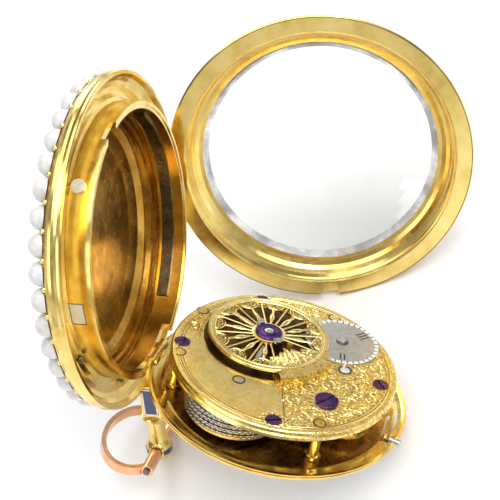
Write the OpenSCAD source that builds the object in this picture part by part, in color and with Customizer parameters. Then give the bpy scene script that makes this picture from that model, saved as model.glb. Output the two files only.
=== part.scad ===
// Open face verge pocket watch, case open: bezel swung to one side and the
// movement swung out of its bowl. Every piece is drawn as in the closed watch
// (X to 3 o'clock, Y to 12 o'clock, Z out of the dial) and then opened.

/* [Case] */
// Radius of the case lip
case_r = 28; // [27.8:0.1:28.4]
// Depth of the moulded band behind the lip
band_h = 2.6; // [2.4:0.1:2.8]
// Outer radius of the collar that the movement seats on
collar_r = 22.9; // [22.8:0.1:23]
// Height of the collar's front edge above the lip
collar_top = 2.69; // [2.5:0.01:2.7]
// Depth of the bowl's floor behind the lip
bowl_depth = 6.5; // [6.4:0.1:6.8]
// Half pearls round the back
back_pearl_count = 39; // [30:1:39]
// Radius of a half pearl on the back
back_pearl_r = 1.95; // [1.5:0.05:2]

/* [Pendant and bow] */
// Distance from the watch's centre to the bow's pivot
pendant_y = 41.9; // [41:0.1:43]
// Radius of the pendant's ball
ball_r = 2.35; // [2.2:0.05:2.5]
// Half the width of the bow, centreline
bow_half_w = 8.6; // [8:0.1:10]
// Length of the bow from its pivot, centreline
bow_len = 10; // [9:0.1:12]
// Angle of the bow, folded back from straight out
bow_angle = 108; // [90:1:115]

/* [Bezel] */
// Radius of the bezel's flange
bezel_r = 27.43; // [27:0.01:27.5]
// Radius of the opening that holds the crystal
glass_r = 21.43; // [21.3:0.01:21.6]
// Angle of the open bezel
bezel_open = 101.98; // [60:0.01:110]
// Half pearls round the bezel
front_pearl_count = 42; // [30:1:42]
// Radius of a half pearl on the bezel
front_pearl_r = 1.72; // [1.4:0.02:1.74]

/* [Movement] */
// Radius of the top plate
plate_r = 19.22; // [19:0.01:19.4]
// Back surface of the top plate
plate_back = -3.54; // [-3.6:0.01:-3.5]
// Thickness of the top plate
plate_t = 1.2; // [1:0.05:1.3]
// Back surface of the pillar plate
pillar_back = 3.4; // [3.4:0.05:3.5]
// Radius of the brass edge's rim
edge_r = 22.13; // [22:0.01:22.2]
// Angle of the swung-out movement
movement_open = 105.57; // [60:0.01:110]
// Place of the balance, X
balance_x = -4; // [-4.2:0.1:-3.8]
// Place of the balance, Y
balance_y = 4.1; // [3.9:0.1:4.3]
// Radius of the pierced cock table
table_r = 10.4; // [10.2:0.1:10.5]
// Radius of the balance wheel
balance_r = 9.35; // [9:0.05:9.4]

/* [Wheel train] */
// Teeth of the great wheel
great_teeth = 48; // [48]
// Leaves of the centre pinion
centre_leaves = 12; // [12]
// Teeth of the centre wheel
centre_teeth = 54; // [54]
// Teeth of the third wheel and of the contrate wheel
third_teeth = 48; // [48]
// Leaves of the third, contrate and crown pinions
small_leaves = 6; // [6]
// Teeth of the crown wheel
crown_teeth = 15; // [15]

/* [Stand] */
// Lean of the watch about the pendant's axis line, as it rests
lean_side = -21.9; // [-30:0.1:30]
// Lean of the watch toward its dial side, as it rests; negative leans it back
lean_front = -9.3; // [-20:0.1:20]
// Turn of the resting watch
turn = 90; // [0:1:360]
// Shift of the resting watch along X
shift_x = 16.94; // [-60:0.01:60]
// Shift of the resting watch along Y
shift_y = 6.6; // [-60:0.01:60]
// Height of the watch's centre above the table
shift_z = 42.11; // [20:0.01:80]

/* [Hidden] */
$fn = 48;

// Hinge axes of the bezel and of the movement, in the closed watch
bezel_hinge_x = -26.32;
move_hinge_y = 21.65;
move_hinge_z = 2.5;
knuckle_r = 0.75;
pin_r = 0.3;
run_gap = 0.04;
eps = 0.01;

// Levels in the movement
plate_front = plate_back + plate_t;
pillar_front = pillar_back + 1;
table_back = plate_back - 1.5;
table_t = 0.5;
crown_z = 0.35;

// Wheel centres: the balance, fusee, barrel, third and contrate wheels
balance_at = [balance_x, balance_y];
fusee_at = [-7, -6.86];
barrel_at = [9.35, 5.4];
crown_turn = 28;
crown_dir = [sin(crown_turn), -cos(crown_turn)];
contrate_at = balance_at + 18.5 * crown_dir;
third_at = [5.97, -5.33];
minute_at = [-3.2, -2.2];

// Pitch radii: each pair of wheels shares the distance between its centres
great_pitch = norm(fusee_at) * great_teeth / (great_teeth + centre_leaves);
centre_pinion_pitch = norm(fusee_at) - great_pitch;
centre_pitch = norm(third_at) * centre_teeth / (centre_teeth + small_leaves);
third_pinion_pitch = norm(third_at) - centre_pitch;
third_span = norm(contrate_at - third_at);
third_pitch = third_span * third_teeth / (third_teeth + small_leaves);
contrate_pinion_pitch = third_span - third_pitch;
contrate_pitch = 4.2;
crown_pinion_pitch = contrate_pitch * small_leaves / third_teeth;
crown_tip_r = 2.35;
figure_at = [-9.7, -8];
figure_r = 6.4;
rack_teeth = 100;
pinion_teeth = 20;
rack_pitch = norm(figure_at - balance_at) * rack_teeth / (rack_teeth + pinion_teeth);
pinion_pitch = norm(figure_at - balance_at) - rack_pitch;

function heading(from, to) = atan2(to[1] - from[1], to[0] - from[0]);

// Outline of a toothed wheel with narrow straight-sided teeth, first tooth at angle 0
function tooth_outline(count, pitch_r, up, down, share) =
    let (half = share * 180 / count)
    [for (i = [0:count - 1], p = [
        [pitch_r - down, -1.3 * half], [pitch_r + up, -0.55 * half],
        [pitch_r + up, 0.55 * half], [pitch_r - down, 1.3 * half]])
        let (a = 360 * i / count + p[1]) p[0] * [cos(a), sin(a)]];

// A flat wheel or pinion; first_tooth is the heading of one tooth
module toothed(count, pitch_r, thick, first_tooth, bore = 0, share = 0.34) {
    module_mm = 2 * pitch_r / count;
    rotate(first_tooth)
        difference() {
            linear_extrude(thick)
                polygon(tooth_outline(count, pitch_r, 0.55 * module_mm, 0.95 * module_mm, share));
            if (bore > 0)
                translate([0, 0, -eps]) cylinder(r = bore, h = thick + 2 * eps);
        }
}

// Windows between the arms of a wheel
module arm_windows(arms, r_in, r_out, arm_w, thick) {
    for (i = [0:arms - 1])
        rotate(360 * (i + 0.5) / arms)
            intersection() {
                difference() {
                    translate([0, 0, -eps]) cylinder(r = r_out, h = thick + 2 * eps);
                    translate([0, 0, -2 * eps]) cylinder(r = r_in, h = thick + 4 * eps);
                }
                linear_extrude(3 * thick, center = true)
                    polygon([
                        [arm_w / 2 / sin(180 / arms), 0],
                        [2 * r_out, (2 * r_out - arm_w / 2 / sin(180 / arms)) * tan(min(80, 180 / arms))],
                        [2 * r_out, -(2 * r_out - arm_w / 2 / sin(180 / arms)) * tan(min(80, 180 / arms))]
                    ]);
            }
}

module tube(r_out, r_in, z0, z1) {
    difference() {
        translate([0, 0, z0]) cylinder(r = r_out, h = z1 - z0);
        translate([0, 0, z0 - eps]) cylinder(r = r_in, h = z1 - z0 + 2 * eps);
    }
}

// A slotted screw head with a short shank; the head's top faces -Z at level z
module screw(r, head_h, shank_r, shank_h, slot_turn = 30) {
    difference() {
        translate([0, 0, 0]) cylinder(r = r, h = head_h);
        rotate(slot_turn) translate([-2 * r, -0.12 * r, -eps]) cube([4 * r, 0.24 * r, 0.45 * head_h]);
    }
    translate([0, 0, head_h]) cylinder(r = shank_r, h = shank_h);
}

// From the closed watch's frame to the table it rests on
module rest() {
    translate([shift_x, shift_y, shift_z])
        rotate(turn) rotate([lean_front, 0, 0]) rotate([0, lean_side, 0]) rotate([-90, 0, 0])
            children();
}

module in_bezel() {
    rest() translate([bezel_hinge_x, 0, 0]) rotate([0, -bezel_open, 0])
        translate([-bezel_hinge_x, 0, 0]) children();
}

module in_movement() {
    rest() translate([0, move_hinge_y, move_hinge_z]) rotate([-movement_open, 0, 0])
        translate([0, -move_hinge_y, -move_hinge_z]) children();
}

module at(p, z = 0) {
    translate([p[0], p[1], z]) children();
}

// ---- Case ----

// Azimuth on the dial: 0 at 12 o'clock, clockwise
module azimuth(a) {
    rotate(-a) children();
}

module case_band() {
    color("gold") rest()
        difference() {
            rotate_extrude($fn = 96)
                polygon([
                    [27.3, 0], [case_r - 0.1, 0], [case_r, -0.12], [case_r, -0.5], [case_r - 0.2, -0.65],
                    [case_r, -0.95], [case_r + 0.05, -1.4], [case_r - 0.05, -1.9], [case_r - 0.3, -2.3],
                    [case_r - 0.45, -band_h], [27.2, -2.75], [24.6, -2.75], [24.6, -2.45], [collar_r, -2.1],
                    [collar_r, -1.32], [23.5, -1.62], [24.4, -1.85], [25.3, -1.8], [26.2, -1.4], [26.9, -0.8]
                ]);
            // Room for the bezel's knuckle and the bezel catch's nose
            translate([bezel_hinge_x - 0.9, -1.95, -0.95]) cube([2.2, 3.9, 1.2]);
        }
    color("gold") rest() for (side = [-1, 1]) bezel_knuckle_fixed(side);
}

// The case's knuckles of the bezel hinge, let into the channel
module bezel_knuckle_fixed(side) {
    difference() {
        union() {
            translate([bezel_hinge_x, side * 2, 0]) rotate([-90 * side, 0, 0])
                cylinder(r = knuckle_r, h = 3);
            translate([bezel_hinge_x - 0.6, side > 0 ? 2 : -5, -1.3]) cube([1.2, 3, 1.3]);
        }
        translate([bezel_hinge_x, -6, 0]) rotate([-90, 0, 0]) cylinder(r = pin_r, h = 12);
    }
}

module case_collar() {
    notch_half_w = 7.2;
    catch_az = 165.5;
    window_az = 88;
    color("khaki") rest()
        difference() {
            union() {
                rotate_extrude($fn = 96)
                    polygon([
                        [collar_r, collar_top], [collar_r, -2.1], [21.9, -2.1], [21.7, -1.6],
                        [21.7, 2.5], [22.35, 2.5], [22.35, collar_top]
                    ]);
            }
            // Gap in the edge for the movement's hinge
            translate([-notch_half_w, 18, 1]) cube([2 * notch_half_w, 8, 3]);
            // Notch for the movement's catch
            azimuth(catch_az) translate([-2.1, 19, 1.6]) cube([4.2, 6, 3]);
            // Window for the bezel catch
            azimuth(window_az) translate([-1.9, 20, -1.3]) cube([3.8, 4, 2.4]);
            // Hole for the collar's screw
            azimuth(138) translate([0, 20, 0.1]) rotate([-90, 0, 0]) cylinder(r = 0.6, h = 4);
        }
    color("khaki") rest() for (side = [-1, 1]) movement_knuckle_fixed(side);
}

// The case's knuckles of the movement hinge, standing on the collar
module movement_knuckle_fixed(side) {
    x0 = side > 0 ? 1.3 : -3.2;
    difference() {
        union() {
            translate([x0, move_hinge_y, move_hinge_z]) rotate([0, 90, 0])
                cylinder(r = knuckle_r, h = 1.9);
            translate([x0, 21.75, 0.9]) cube([1.9, 0.85, 1.6]);
        }
        translate([x0 - 1, move_hinge_y, move_hinge_z]) rotate([0, 90, 0])
            cylinder(r = pin_r, h = 4);
    }
}

module case_back() {
    color("goldenrod") rest()
        rotate_extrude($fn = 96)
            polygon([
                [24.6, -2.75], [27.2, -2.75], [27.1, -3.1], [24.7, -4.5], [24, -4.75], [23.4, -4.7],
                [23, -4.6], [20, -5.65], [16, -6.45], [11, -7], [5.5, -7.3], [0, -7.4], [0, -bowl_depth],
                [6, -6.4], [12, -6.15], [16, -5.75], [18.6, -5.1], [19.8, -4.3], [20.5, -4.1],
                [20.7, -3.3], [21.3, -3.1], [21.4, -2.5], [21.9, -2.4], [21.9, -2.1], [collar_r, -2.1],
                [24.6, -2.45]
            ]);
}

module back_enamel() {
    color("royalblue") rest()
        rotate_extrude($fn = 96)
            polygon([
                [0, -7.4], [5.5, -7.3], [11, -7], [16, -6.45], [20, -5.65], [23, -4.6],
                [22.95, -4.85], [20, -5.95], [16, -6.75], [11, -7.3], [5.5, -7.6], [0, -7.7]
            ]);
}

// A ring of half pearls; the flat sides lie on a cone that leans outward
module pearl_ring(count, ring_r, z, r, lean, facing) {
    for (i = [0:count - 1])
        azimuth(360 * (i + 0.5) / count)
            translate([0, ring_r, z]) rotate([lean, 0, 0])
                intersection() {
                    sphere(r = r, $fn = 32);
                    translate([-2 * r, -2 * r, facing > 0 ? 0 : -4 * r]) cube(4 * r);
                }
}

module back_pearls() {
    color("ghostwhite") rest()
        pearl_ring(back_pearl_count, 25.9, -3.8, back_pearl_r, 30.3, -1);
}

module collar_screw() {
    color("silver") rest()
        azimuth(138) translate([0, collar_r + 0.45, 0.1]) rotate([90, 0, 0]) screw(1.15, 0.45, 0.6, 0.9, 55);
}

module channel_screws() {
    color("dimgray") rest()
        for (a = [20, 66])
            azimuth(a) translate([0, 23.75, -1.15]) rotate([180, 0, 0]) screw(0.5, 0.35, 0.25, 0.2, 20);
}

// Curved steel strip on the inside of the collar
module case_spring() {
    color("darkslategray") rest()
        rotate(125)
            rotate_extrude(angle = 105, $fn = 96)
                translate([21.35, -1.4]) square([0.3, 2]);
}

module movement_hinge_pin() {
    color("silver") rest()
        translate([-3.3, move_hinge_y, move_hinge_z]) rotate([0, 90, 0]) cylinder(r = pin_r, h = 6.6);
}

module bezel_hinge_pin() {
    color("silver") rest()
        translate([bezel_hinge_x, -5.1, 0]) rotate([-90, 0, 0]) cylinder(r = pin_r, h = 10.2);
}

// The sprung block in the collar's window that holds the closed bezel
module bezel_catch() {
    color("whitesmoke") rest()
        azimuth(88) translate([-1.7, 21.75, -1.2]) cube([3.4, 1.1, 2.1]);
}

module pendant() {
    block_w = 3.4;
    color("gold") rest()
        difference() {
            union() {
                translate([-block_w / 2, 27.6, -1.5]) cube([block_w, 7.1, block_w]);
                translate([0, 34.6, 0.1]) rotate([-90, 0, 0])
                    rotate_extrude()
                        polygon([[0, 0], [2.3, 0], [2.45, 0.3], [2.3, 0.7], [1.85, 1], [1.65, 1.3],
                                 [1.5, 3.5], [1.75, 5.4], [0, 5.6]]);
                translate([0, pendant_y, 0]) sphere(r = ball_r);
            }
            translate([0, 0, -5]) cylinder(r = case_r + 0.05, h = 10, $fn = 96);
            translate([-4, pendant_y, 0]) rotate([0, 90, 0]) cylinder(r = 0.5, h = 8);
            for (side = [-1, 1])
                translate([side * (ball_r + 0.1), pendant_y, 0]) rotate([0, 90, 0])
                    cylinder(r = 1.3, h = 1.5, center = true);
        }
}

// White-bordered blue enamel panels let into the pendant's four faces, and the ball's stripe
module pendant_enamel() {
    color("navy") rest() {
        for (side = [-1, 1])
            translate([side * 1.75, 31.2, 0.2]) cube([0.1, 5.4, 2.6], center = true);
        translate([0, 31.2, 1.95]) cube([2.6, 5.4, 0.1], center = true);
        translate([0, 31.2, -1.55]) cube([2.6, 5.4, 0.1], center = true);
        translate([0, pendant_y, 0]) rotate([90, 0, 0])
            difference() {
                tube(ball_r + 0.06, ball_r, -0.45, 0.45);
                cube([8, 2.9, 3], center = true);
            }
    }
}

module bow_screw() {
    color("dimgray") rest() {
        translate([-7.3, pendant_y, 0]) rotate([0, 90, 0]) cylinder(r = 0.46, h = 14.6);
        for (side = [-1, 1])
            translate([side * 7.35, pendant_y, 0]) rotate([0, side * 90, 0]) cylinder(r = 0.62, h = 0.25);
    }
}

// A flat-sided oval loop that ends in two tubes on the pivot
module bow_ring() {
    tube_x0 = 1.75;
    tube_len = 5.5;
    strip_r = 0.85;
    color("tan") rest()
        translate([0, pendant_y, 0]) rotate([-bow_angle, 0, 0]) rotate([-90, 0, 0]) {
            for (side = [-1, 1])
                translate([side * tube_x0, 0, 0]) rotate([0, side * 90, 0])
                    difference() {
                        cylinder(r = 1.15, h = tube_len);
                        translate([0, 0, -1]) cylinder(r = 0.5, h = tube_len + 2);
                    }
            difference() {
                translate([0, 0, 0]) rotate([90, 0, 0])
                    linear_extrude(1.7, center = true)
                        difference() {
                            bow_outline(strip_r / 2);
                            bow_outline(-strip_r / 2);
                        }
                rotate([0, 90, 0]) cylinder(r = 1.15 - eps, h = 30, center = true);
                translate([0, 0, -10]) cube([4 * tube_x0 + 2 * tube_len, 8, 19.6], center = true);
            }
        }
}

// Oval of the bow: z runs along the bow, away from the pivot
module bow_outline(grow) {
    points = 48;
    polygon([for (i = [0:points - 1])
        let (a = 360 * i / points, reach = bow_len / 2 + 0.8)
        [(bow_half_w + grow) * cos(a), reach - 1.6 + (reach + grow) * sin(a)]]);
}

// ---- Bezel ----

module bezel_ring() {
    color("gold") in_bezel() {
        difference() {
            rotate_extrude($fn = 96)
                polygon([
                    [24.6, 0.1], [bezel_r - 0.2, 0.1], [bezel_r, 0.3], [bezel_r, 0.65], [26.9, 1.1],
                    [26.4, 1.5], [26.25, 2.2], [23.6, 3.75], [23.1, 4.35], [22.6, 4.5], [22.1, 4.45],
                    [22.1, 4.3], [22, 4.15], [glass_r, 4.15], [glass_r, 3.9], [22.1, 3.75], [22.8, 3.4],
                    [23.4, 2.75], [23.8, 1.8], [24.05, 0.9], [24.3, 0.57], [24.45, 0.5]
                ]);
            // Flat on the hinge side, and room for the case's knuckles
            translate([-30, -12, -1]) cube([3.9, 24, 1.7]);
            translate([-30, -12, 0.69]) cube([4.2, 24, 1.4]);
            translate([-30, -5.2, -1]) cube([4.7, 10.4, 2]);
            // Notch over the pendant
            translate([-1.5, 24.9, -1]) cube([3, 4, 2]);
        }
        difference() {
            union() {
                translate([bezel_hinge_x, -1.85, 0]) rotate([-90, 0, 0]) cylinder(r = knuckle_r, h = 3.7);
                translate([bezel_hinge_x, -1.85, 0.1]) cube([2, 3.7, 0.65]);
            }
            translate([bezel_hinge_x, -3, 0]) rotate([-90, 0, 0]) cylinder(r = pin_r + run_gap, h = 6);
        }
    }
}

// Domed glass with a steep edge, high enough to clear the dial and the hands
module crystal() {
    steps = 16;
    shoulder_r = 20.6;
    shoulder_z = 5.35;
    apex_z = 10;
    wall = 0.7;
    rise = apex_z - shoulder_z;
    dome_r = (shoulder_r * shoulder_r + rise * rise) / (2 * rise);
    function dome(r, grow) = apex_z - dome_r + sqrt((dome_r + grow) * (dome_r + grow) - r * r);
    color("lightcyan", 0.35) in_bezel()
        rotate_extrude($fn = 96)
            polygon(concat(
                [[21.45, 4.16], [21.95, 4.16], [21.95, 4.45]],
                [for (i = [steps:-1:0]) let (r = (shoulder_r + 0.5) * i / steps) [r, dome(r, wall)]],
                [for (i = [0:steps]) let (r = shoulder_r * i / steps) [r, dome(r, 0)]]));
}

module front_pearls() {
    color("ghostwhite") in_bezel()
        pearl_ring(front_pearl_count, 24.93, 2.98, front_pearl_r, -30.3, 1);
}

// ---- Movement: frame ----

pillar_points = [[6.4, 16.6], [14, -9.2], [-7, 16.6], [-16.4, -5.2]];

module pillar_plate() {
    color("darkgoldenrod") in_movement()
        difference() {
            translate([0, 0, pillar_back]) cylinder(r = 19.4, h = 1, $fn = 96);
            translate([0, 0, 3]) cylinder(r = 0.62, h = 2);
            at(fusee_at, 3) cylinder(r = 0.75, h = 2);
            at(barrel_at, 3) cylinder(r = 0.75, h = 2);
            at(minute_at, 3) cylinder(r = 0.3, h = 2);
        }
}

// Dished ring round the pillar plate, with the hinge's middle knuckle
module brass_edge() {
    color("gold") in_movement() {
        difference() {
            rotate_extrude($fn = 96)
                polygon([
                    [19.4, 3.4], [20, 3.15], [20.7, 2.95], [21.3, 2.8], [21.7, 2.63], [edge_r, 2.63],
                    [edge_r, 2.85], [21.8, 2.95], [21.8, 3.15], [22.05, 3.2], [22.05, 3.5], [21.2, 3.7],
                    [21.05, 4.45], [20.2, 4.45], [20, 4.4], [19.4, 4.4]
                ]);
            translate([-3.4, 20.8, 0]) cube([6.8, 3, 3.35]);
            translate([-3.4, 21.2, 0]) cube([6.8, 3, 5]);
            azimuth(168) translate([-1, 18, 2.4]) cube([2, 8, 1.7]);
        }
        difference() {
            union() {
                translate([-1.2, move_hinge_y, move_hinge_z]) rotate([0, 90, 0])
                    cylinder(r = knuckle_r, h = 2.4);
                translate([-1.2, 20.6, 2.5]) cube([2.4, 1.05, 0.75]);
            }
            translate([-2, move_hinge_y, move_hinge_z]) rotate([0, 90, 0])
                cylinder(r = pin_r + run_gap, h = 4);
        }
    }
}

module dial() {
    color("white") in_movement()
        difference() {
            rotate_extrude($fn = 96)
                polygon([
                    [0, 5.7], [10, 5.55], [16, 5.25], [20.6, 4.85], [20.75, 4.65], [20.6, 4.45],
                    [19.6, 4.45], [16, 4.85], [10, 5.15], [0, 5.3]
                ]);
            translate([0, 0, 4]) cylinder(r = 1.3, h = 3);
            // Winding hole
            at(fusee_at, 4) cylinder(r = 1.2, h = 3);
        }
}

module pillars() {
    color("gold") in_movement()
        for (p = pillar_points)
            at(p)
                rotate_extrude()
                    polygon([
                        [0, plate_back - 0.05], [0.85, plate_back - 0.05], [0.95, plate_front],
                        [1.15, plate_front + 0.01], [1.15, plate_front + 0.3], [0.95, plate_front + 0.5],
                        [0.95, pillar_back - 0.6], [1.05, pillar_back - 0.45], [1.45, pillar_back - 0.35],
                        [1.45, pillar_back - 0.15], [1.1, pillar_back], [0, pillar_back]
                    ]);
}

// Line that parts the barrel bridge from the rest of the plate
bridge_cut = [[24, -6.2], [8.5, -1.6], [7.2, 2.5], [4.6, 9.4], [0.6, 13.6], [-0.4, 24], [24, 24]];

module plate_blank() {
    rotate_extrude($fn = 96)
        polygon([
            [0, plate_front], [0, plate_back], [plate_r - 0.9, plate_back], [plate_r - 0.7, plate_back - 0.04],
            [plate_r - 0.3, plate_back - 0.04], [plate_r - 0.12, plate_back + 0.12], [plate_r, plate_back + 0.35],
            [plate_r - 0.1, plate_back + 0.6], [plate_r - 0.4, plate_back + 0.85], [plate_r - 0.15, plate_back + 1.15],
            [plate_r, plate_back + 1.5], [plate_r - 0.1, plate_back + 1.69], [plate_r - 0.8, plate_back + 1.69],
            [plate_r - 0.9, plate_front]
        ]);
}

module plate_holes() {
    // Sunk well in which the balance swings
    at(balance_at, plate_back - 0.2) cylinder(r = 11.4, h = 0.55, $fn = 96);
    for (p = pillar_points) {
        pillar_hole(p);
        at(p, plate_front) cylinder(r = 1.3, h = 1);
    }
    at(balance_at, plate_back - 1) cylinder(r = 0.7, h = 4);
    at(fusee_at, plate_back - 1) cylinder(r = 0.45, h = 4);
    at(barrel_at, plate_back - 1) cylinder(r = 0.45, h = 4);
    for (p = [third_at, contrate_at, [0, 0]]) at(p, plate_back + 0.5) cylinder(r = 0.24, h = 2);
    for (s = screw_points) at(s, plate_back - 1) cylinder(r = 1.38, h = 1.35);
    for (s = screw_points) at(s, plate_back) cylinder(r = 0.6, h = 0.9);
    at(figure_at, plate_back - 1) cylinder(r = 0.75, h = 1.7);
    at(figure_at, plate_back - 0.2) cylinder(r = pinion_pitch + 0.35, h = 0.55);
}

// Tapered hole that a pillar's end fills
module pillar_hole(p) {
    at(p, plate_back - 0.05) cylinder(r1 = 0.86, r2 = 0.96, h = plate_t + 0.05 + eps);
}

screw_points = [[3.4, 17.1], [16.7, -2.2], [-15.4, 7.9], [-0.7, -16.5]];
cock_screw_at = [8, -9];
index_at = [-1.9, -10.1];
foot_cut = [[7.7, -0.8], [5, 1], [-1, -3], [-1.2, -8.3], [-2.4, -18.4], [2, -18.4], [6, -17.4], [17.7, -4.6]];

module top_plate() {
    color("gold") in_movement()
        difference() {
            plate_blank();
            linear_extrude(20, center = true) polygon(bridge_cut);
            plate_holes();
            // Bed of the cock's foot
            translate([0, 0, plate_back - 1]) linear_extrude(1.5) polygon(foot_cut);
            at(cock_screw_at, plate_back) cylinder(r = 0.8, h = plate_t + 1);
            at(index_at, plate_back - 1) cylinder(r = 1.1, h = 1.4);
            // Clearance under the figure plate and for the rack
            at(figure_at, plate_back - 1) cylinder(r = figure_r + 0.08, h = 1.1, $fn = 96);
        }
}

module barrel_bridge() {
    color("khaki") in_movement()
        difference() {
            intersection() {
                plate_blank();
                linear_extrude(20, center = true) offset(delta = -0.02) polygon(bridge_cut);
            }
            plate_holes();
            at(barrel_at, plate_back - 1) cylinder(r = 0.62, h = 1.45);
        }
}

// ---- Movement: cock and balance ----

// One spoke window of the pierced table
module table_window(i, count) {
    a0 = 360 * i / count + 1.1;
    a1 = 360 * (i + 1) / count - 1.1;
    mid = (a0 + a1) / 2;
    r_in = 3.05;
    r_out = 6.9;
    pad = 1.2;
    polygon([
        r_in * [cos(a0 + pad), sin(a0 + pad)], r_out * [cos(a0), sin(a0)],
        (r_out + 0.5) * [cos(mid), sin(mid)], r_out * [cos(a1), sin(a1)],
        r_in * [cos(a1 - pad), sin(a1 - pad)]
    ]);
}

module balance_cock() {
    spokes = 24;
    rosettes = 12;
    color("gold") in_movement()
        difference() {
            union() {
                at(balance_at, table_back) cylinder(r = table_r, h = table_t, $fn = 96);
                at(balance_at, table_back - 0.12) cylinder(r = 2.6, h = 0.12);
                // Wall that carries the table, down to the foot
                intersection() {
                    at(balance_at) tube(table_r, table_r - 0.8, table_back, plate_back + eps);
                    linear_extrude(20, center = true)
                        polygon([[4, -6.5], [9, 1.5], [8, -3], [2, -9], [-5, -9], [-4.5, -5]]);
                }
                intersection() {
                    translate([0, 0, table_back]) linear_extrude(plate_back - table_back + eps)
                        polygon(foot_neck);
                    at(balance_at) tube(15, table_r - 0.8, -20, 20);
                }
                intersection() {
                    translate([0, 0, plate_back]) linear_extrude(0.49) polygon(foot_cut);
                    cylinder(r = plate_r - 0.9, h = 30, center = true, $fn = 96);
                    at(balance_at) tube(40, table_r - 0.8, -20, 20);
                }
            }
            at(balance_at, table_back - 1)
                linear_extrude(3)
                    for (i = [0:spokes - 1]) table_window(i, spokes);
            for (i = [0:rosettes - 1])
                if (i < 8 || i > 9)
                    at(balance_at, table_back - 1)
                        rotate(360 * (i + 0.5) / rosettes) translate([8, 0, 0])
                            difference() {
                                tube(1.05, 0.45, 0, 3);
                                translate([-2, -0.15, 0]) cube([4, 0.3, 8]);
                            }
            at(balance_at, table_back - 1) cylinder(r = 0.35, h = 3);
            for (side = [-1, 1])
                at(balance_at + side * [-2, 1.9] * 1.05, table_back - 1) cylinder(r = 0.35, h = 3);
            at(cock_screw_at, plate_back - 1) cylinder(r = 0.8, h = 3);
            // The foot's edges: bridge, screw, pillar end, index well and figure plate
            translate([0, 0, plate_back - 0.1]) linear_extrude(2) polygon(bridge_cut);
            at(screw_points[3], plate_back - 1) cylinder(r = 1.38, h = 1.35);
            at(screw_points[3], plate_back - 1) cylinder(r = 0.6, h = 3);
            pillar_hole(pillar_points[1]);
            at(index_at, plate_back - 0.5) cylinder(r = 1.1, h = 2);
            at(figure_at, plate_back - 0.2) cylinder(r = figure_r + 0.08, h = 2, $fn = 96);
        }
}

// Outline of the raised neck between table and foot
foot_neck = [[7.5, -0.9], [6.3, -2.8], [4.6, -4.8], [2.2, -6.6], [-0.6, -7.5], [-3.4, -6.9],
             [-3.4, -4.6], [1, -3], [4.9, 0.6]];

module cock_screw() {
    color("indigo") in_movement()
        at(cock_screw_at, plate_back - 0.35) screw(1.95, 0.35, 0.78, 1.2, 35);
}

// Blued steel end-cap with its bearing in the middle
module coqueret() {
    color("midnightblue") in_movement()
        at(balance_at, table_back - 0.5)
            rotate_extrude()
                polygon([[0, 0.05], [1.2, 0], [1.45, 0.12], [2.2, 0.1], [2.35, 0.2], [2.35, 0.38], [0, 0.38]]);
}

module cap_screws() {
    color("silver") in_movement() {
        for (side = [-1, 1])
            at(balance_at + side * [-2, 1.9] * 1.05, table_back - 0.55)
                difference() {
                    screw(0.72, 0.43, 0.34, 0.5, 60);
                    at(-side * [-2, 1.9] * 1.05, -1) cylinder(r = 2.37, h = 1.6);
                }
    }
}

module plate_screws() {
    color("indigo") in_movement()
        for (i = [0:len(screw_points) - 1])
            at(screw_points[i], plate_back - 0.08) screw(1.36, 0.42, 0.58, 0.5, 20 + 40 * i);
}

// Bracket under the plate that holds the foot of the verge and the crown wheel's inner pivot
module potence() {
    color("gold") in_movement()
        difference() {
            at(balance_at) rotate(crown_turn)
                union() {
                    translate([-1.1, 0.75, plate_front]) cube([2.2, 2.2, 5.2]);
                    translate([-0.9, -0.6, 2.74]) cube([1.8, 2.2, 0.12]);
                    translate([-0.5, 0.42, crown_z - 0.5]) cube([1, 0.5, 1]);
                }
            at(balance_at, 2.2) cylinder(r = 0.16, h = 2);
            crown_line(-1.2) cylinder(r = 0.16, h = 1.5);
        }
}

// Places its child along the crown wheel's arbor, a distance from the balance's axis
module crown_line(distance) {
    translate([balance_x, balance_y, crown_z]) rotate(crown_turn) translate([0, -distance, 0])
        rotate([90, 0, 0]) children();
}

module counter_potence() {
    color("gold") in_movement() {
        difference() {
            crown_line(15.2) translate([-0.7, plate_front - crown_z, 0]) cube([1.4, crown_z - plate_front + 0.7, 0.8]);
            crown_line(15) cylinder(r = 0.16, h = 2);
        }
    }
}

// Pierced scrolls under the edge of the plate
module edge_scroll() {
    color("gold") in_movement() {
        for (i = [0:3])
            azimuth(146 + 7 * i) translate([0, 18, plate_front + 0.95]) rotate([90, 0, 0])
                tube(0.75, 0.35, -0.2, 0.2);
        azimuth(156.5) rotate(90 - 11)
            rotate_extrude(angle = 22) translate([17.75, plate_front]) square([0.5, 0.4]);
    }
}

module balance_wheel() {
    rim_z = -4.35;
    color("khaki") in_movement()
        at(balance_at, rim_z)
            difference() {
                cylinder(r = balance_r, h = 0.4, $fn = 96);
                arm_windows(3, 1.5, balance_r - 0.8, 0.9, 0.4);
                translate([0, 0, -1]) cylinder(r = 0.3, h = 3);
            }
}

// Staff with two pallets; they stand clear of the crown wheel at rest
module verge_staff() {
    pallet_turn = 50;
    color("slategray") in_movement()
        at(balance_at) {
            translate([0, 0, -4.9]) cylinder(r = 0.12, h = 0.5);
            translate([0, 0, -4.4]) cylinder(r = 0.3, h = 7.1);
            translate([0, 0, 2.65]) cylinder(r = 0.12, h = 0.19);
            translate([0, 0, -3.9]) cylinder(r = 0.6, h = 0.3);
            for (side = [-1, 1])
                rotate(crown_turn + side * pallet_turn) translate([-0.07, -0.9, crown_z + side * 1.95 - 0.3])
                    cube([0.14, 0.9, 0.6]);
        }
}

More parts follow.
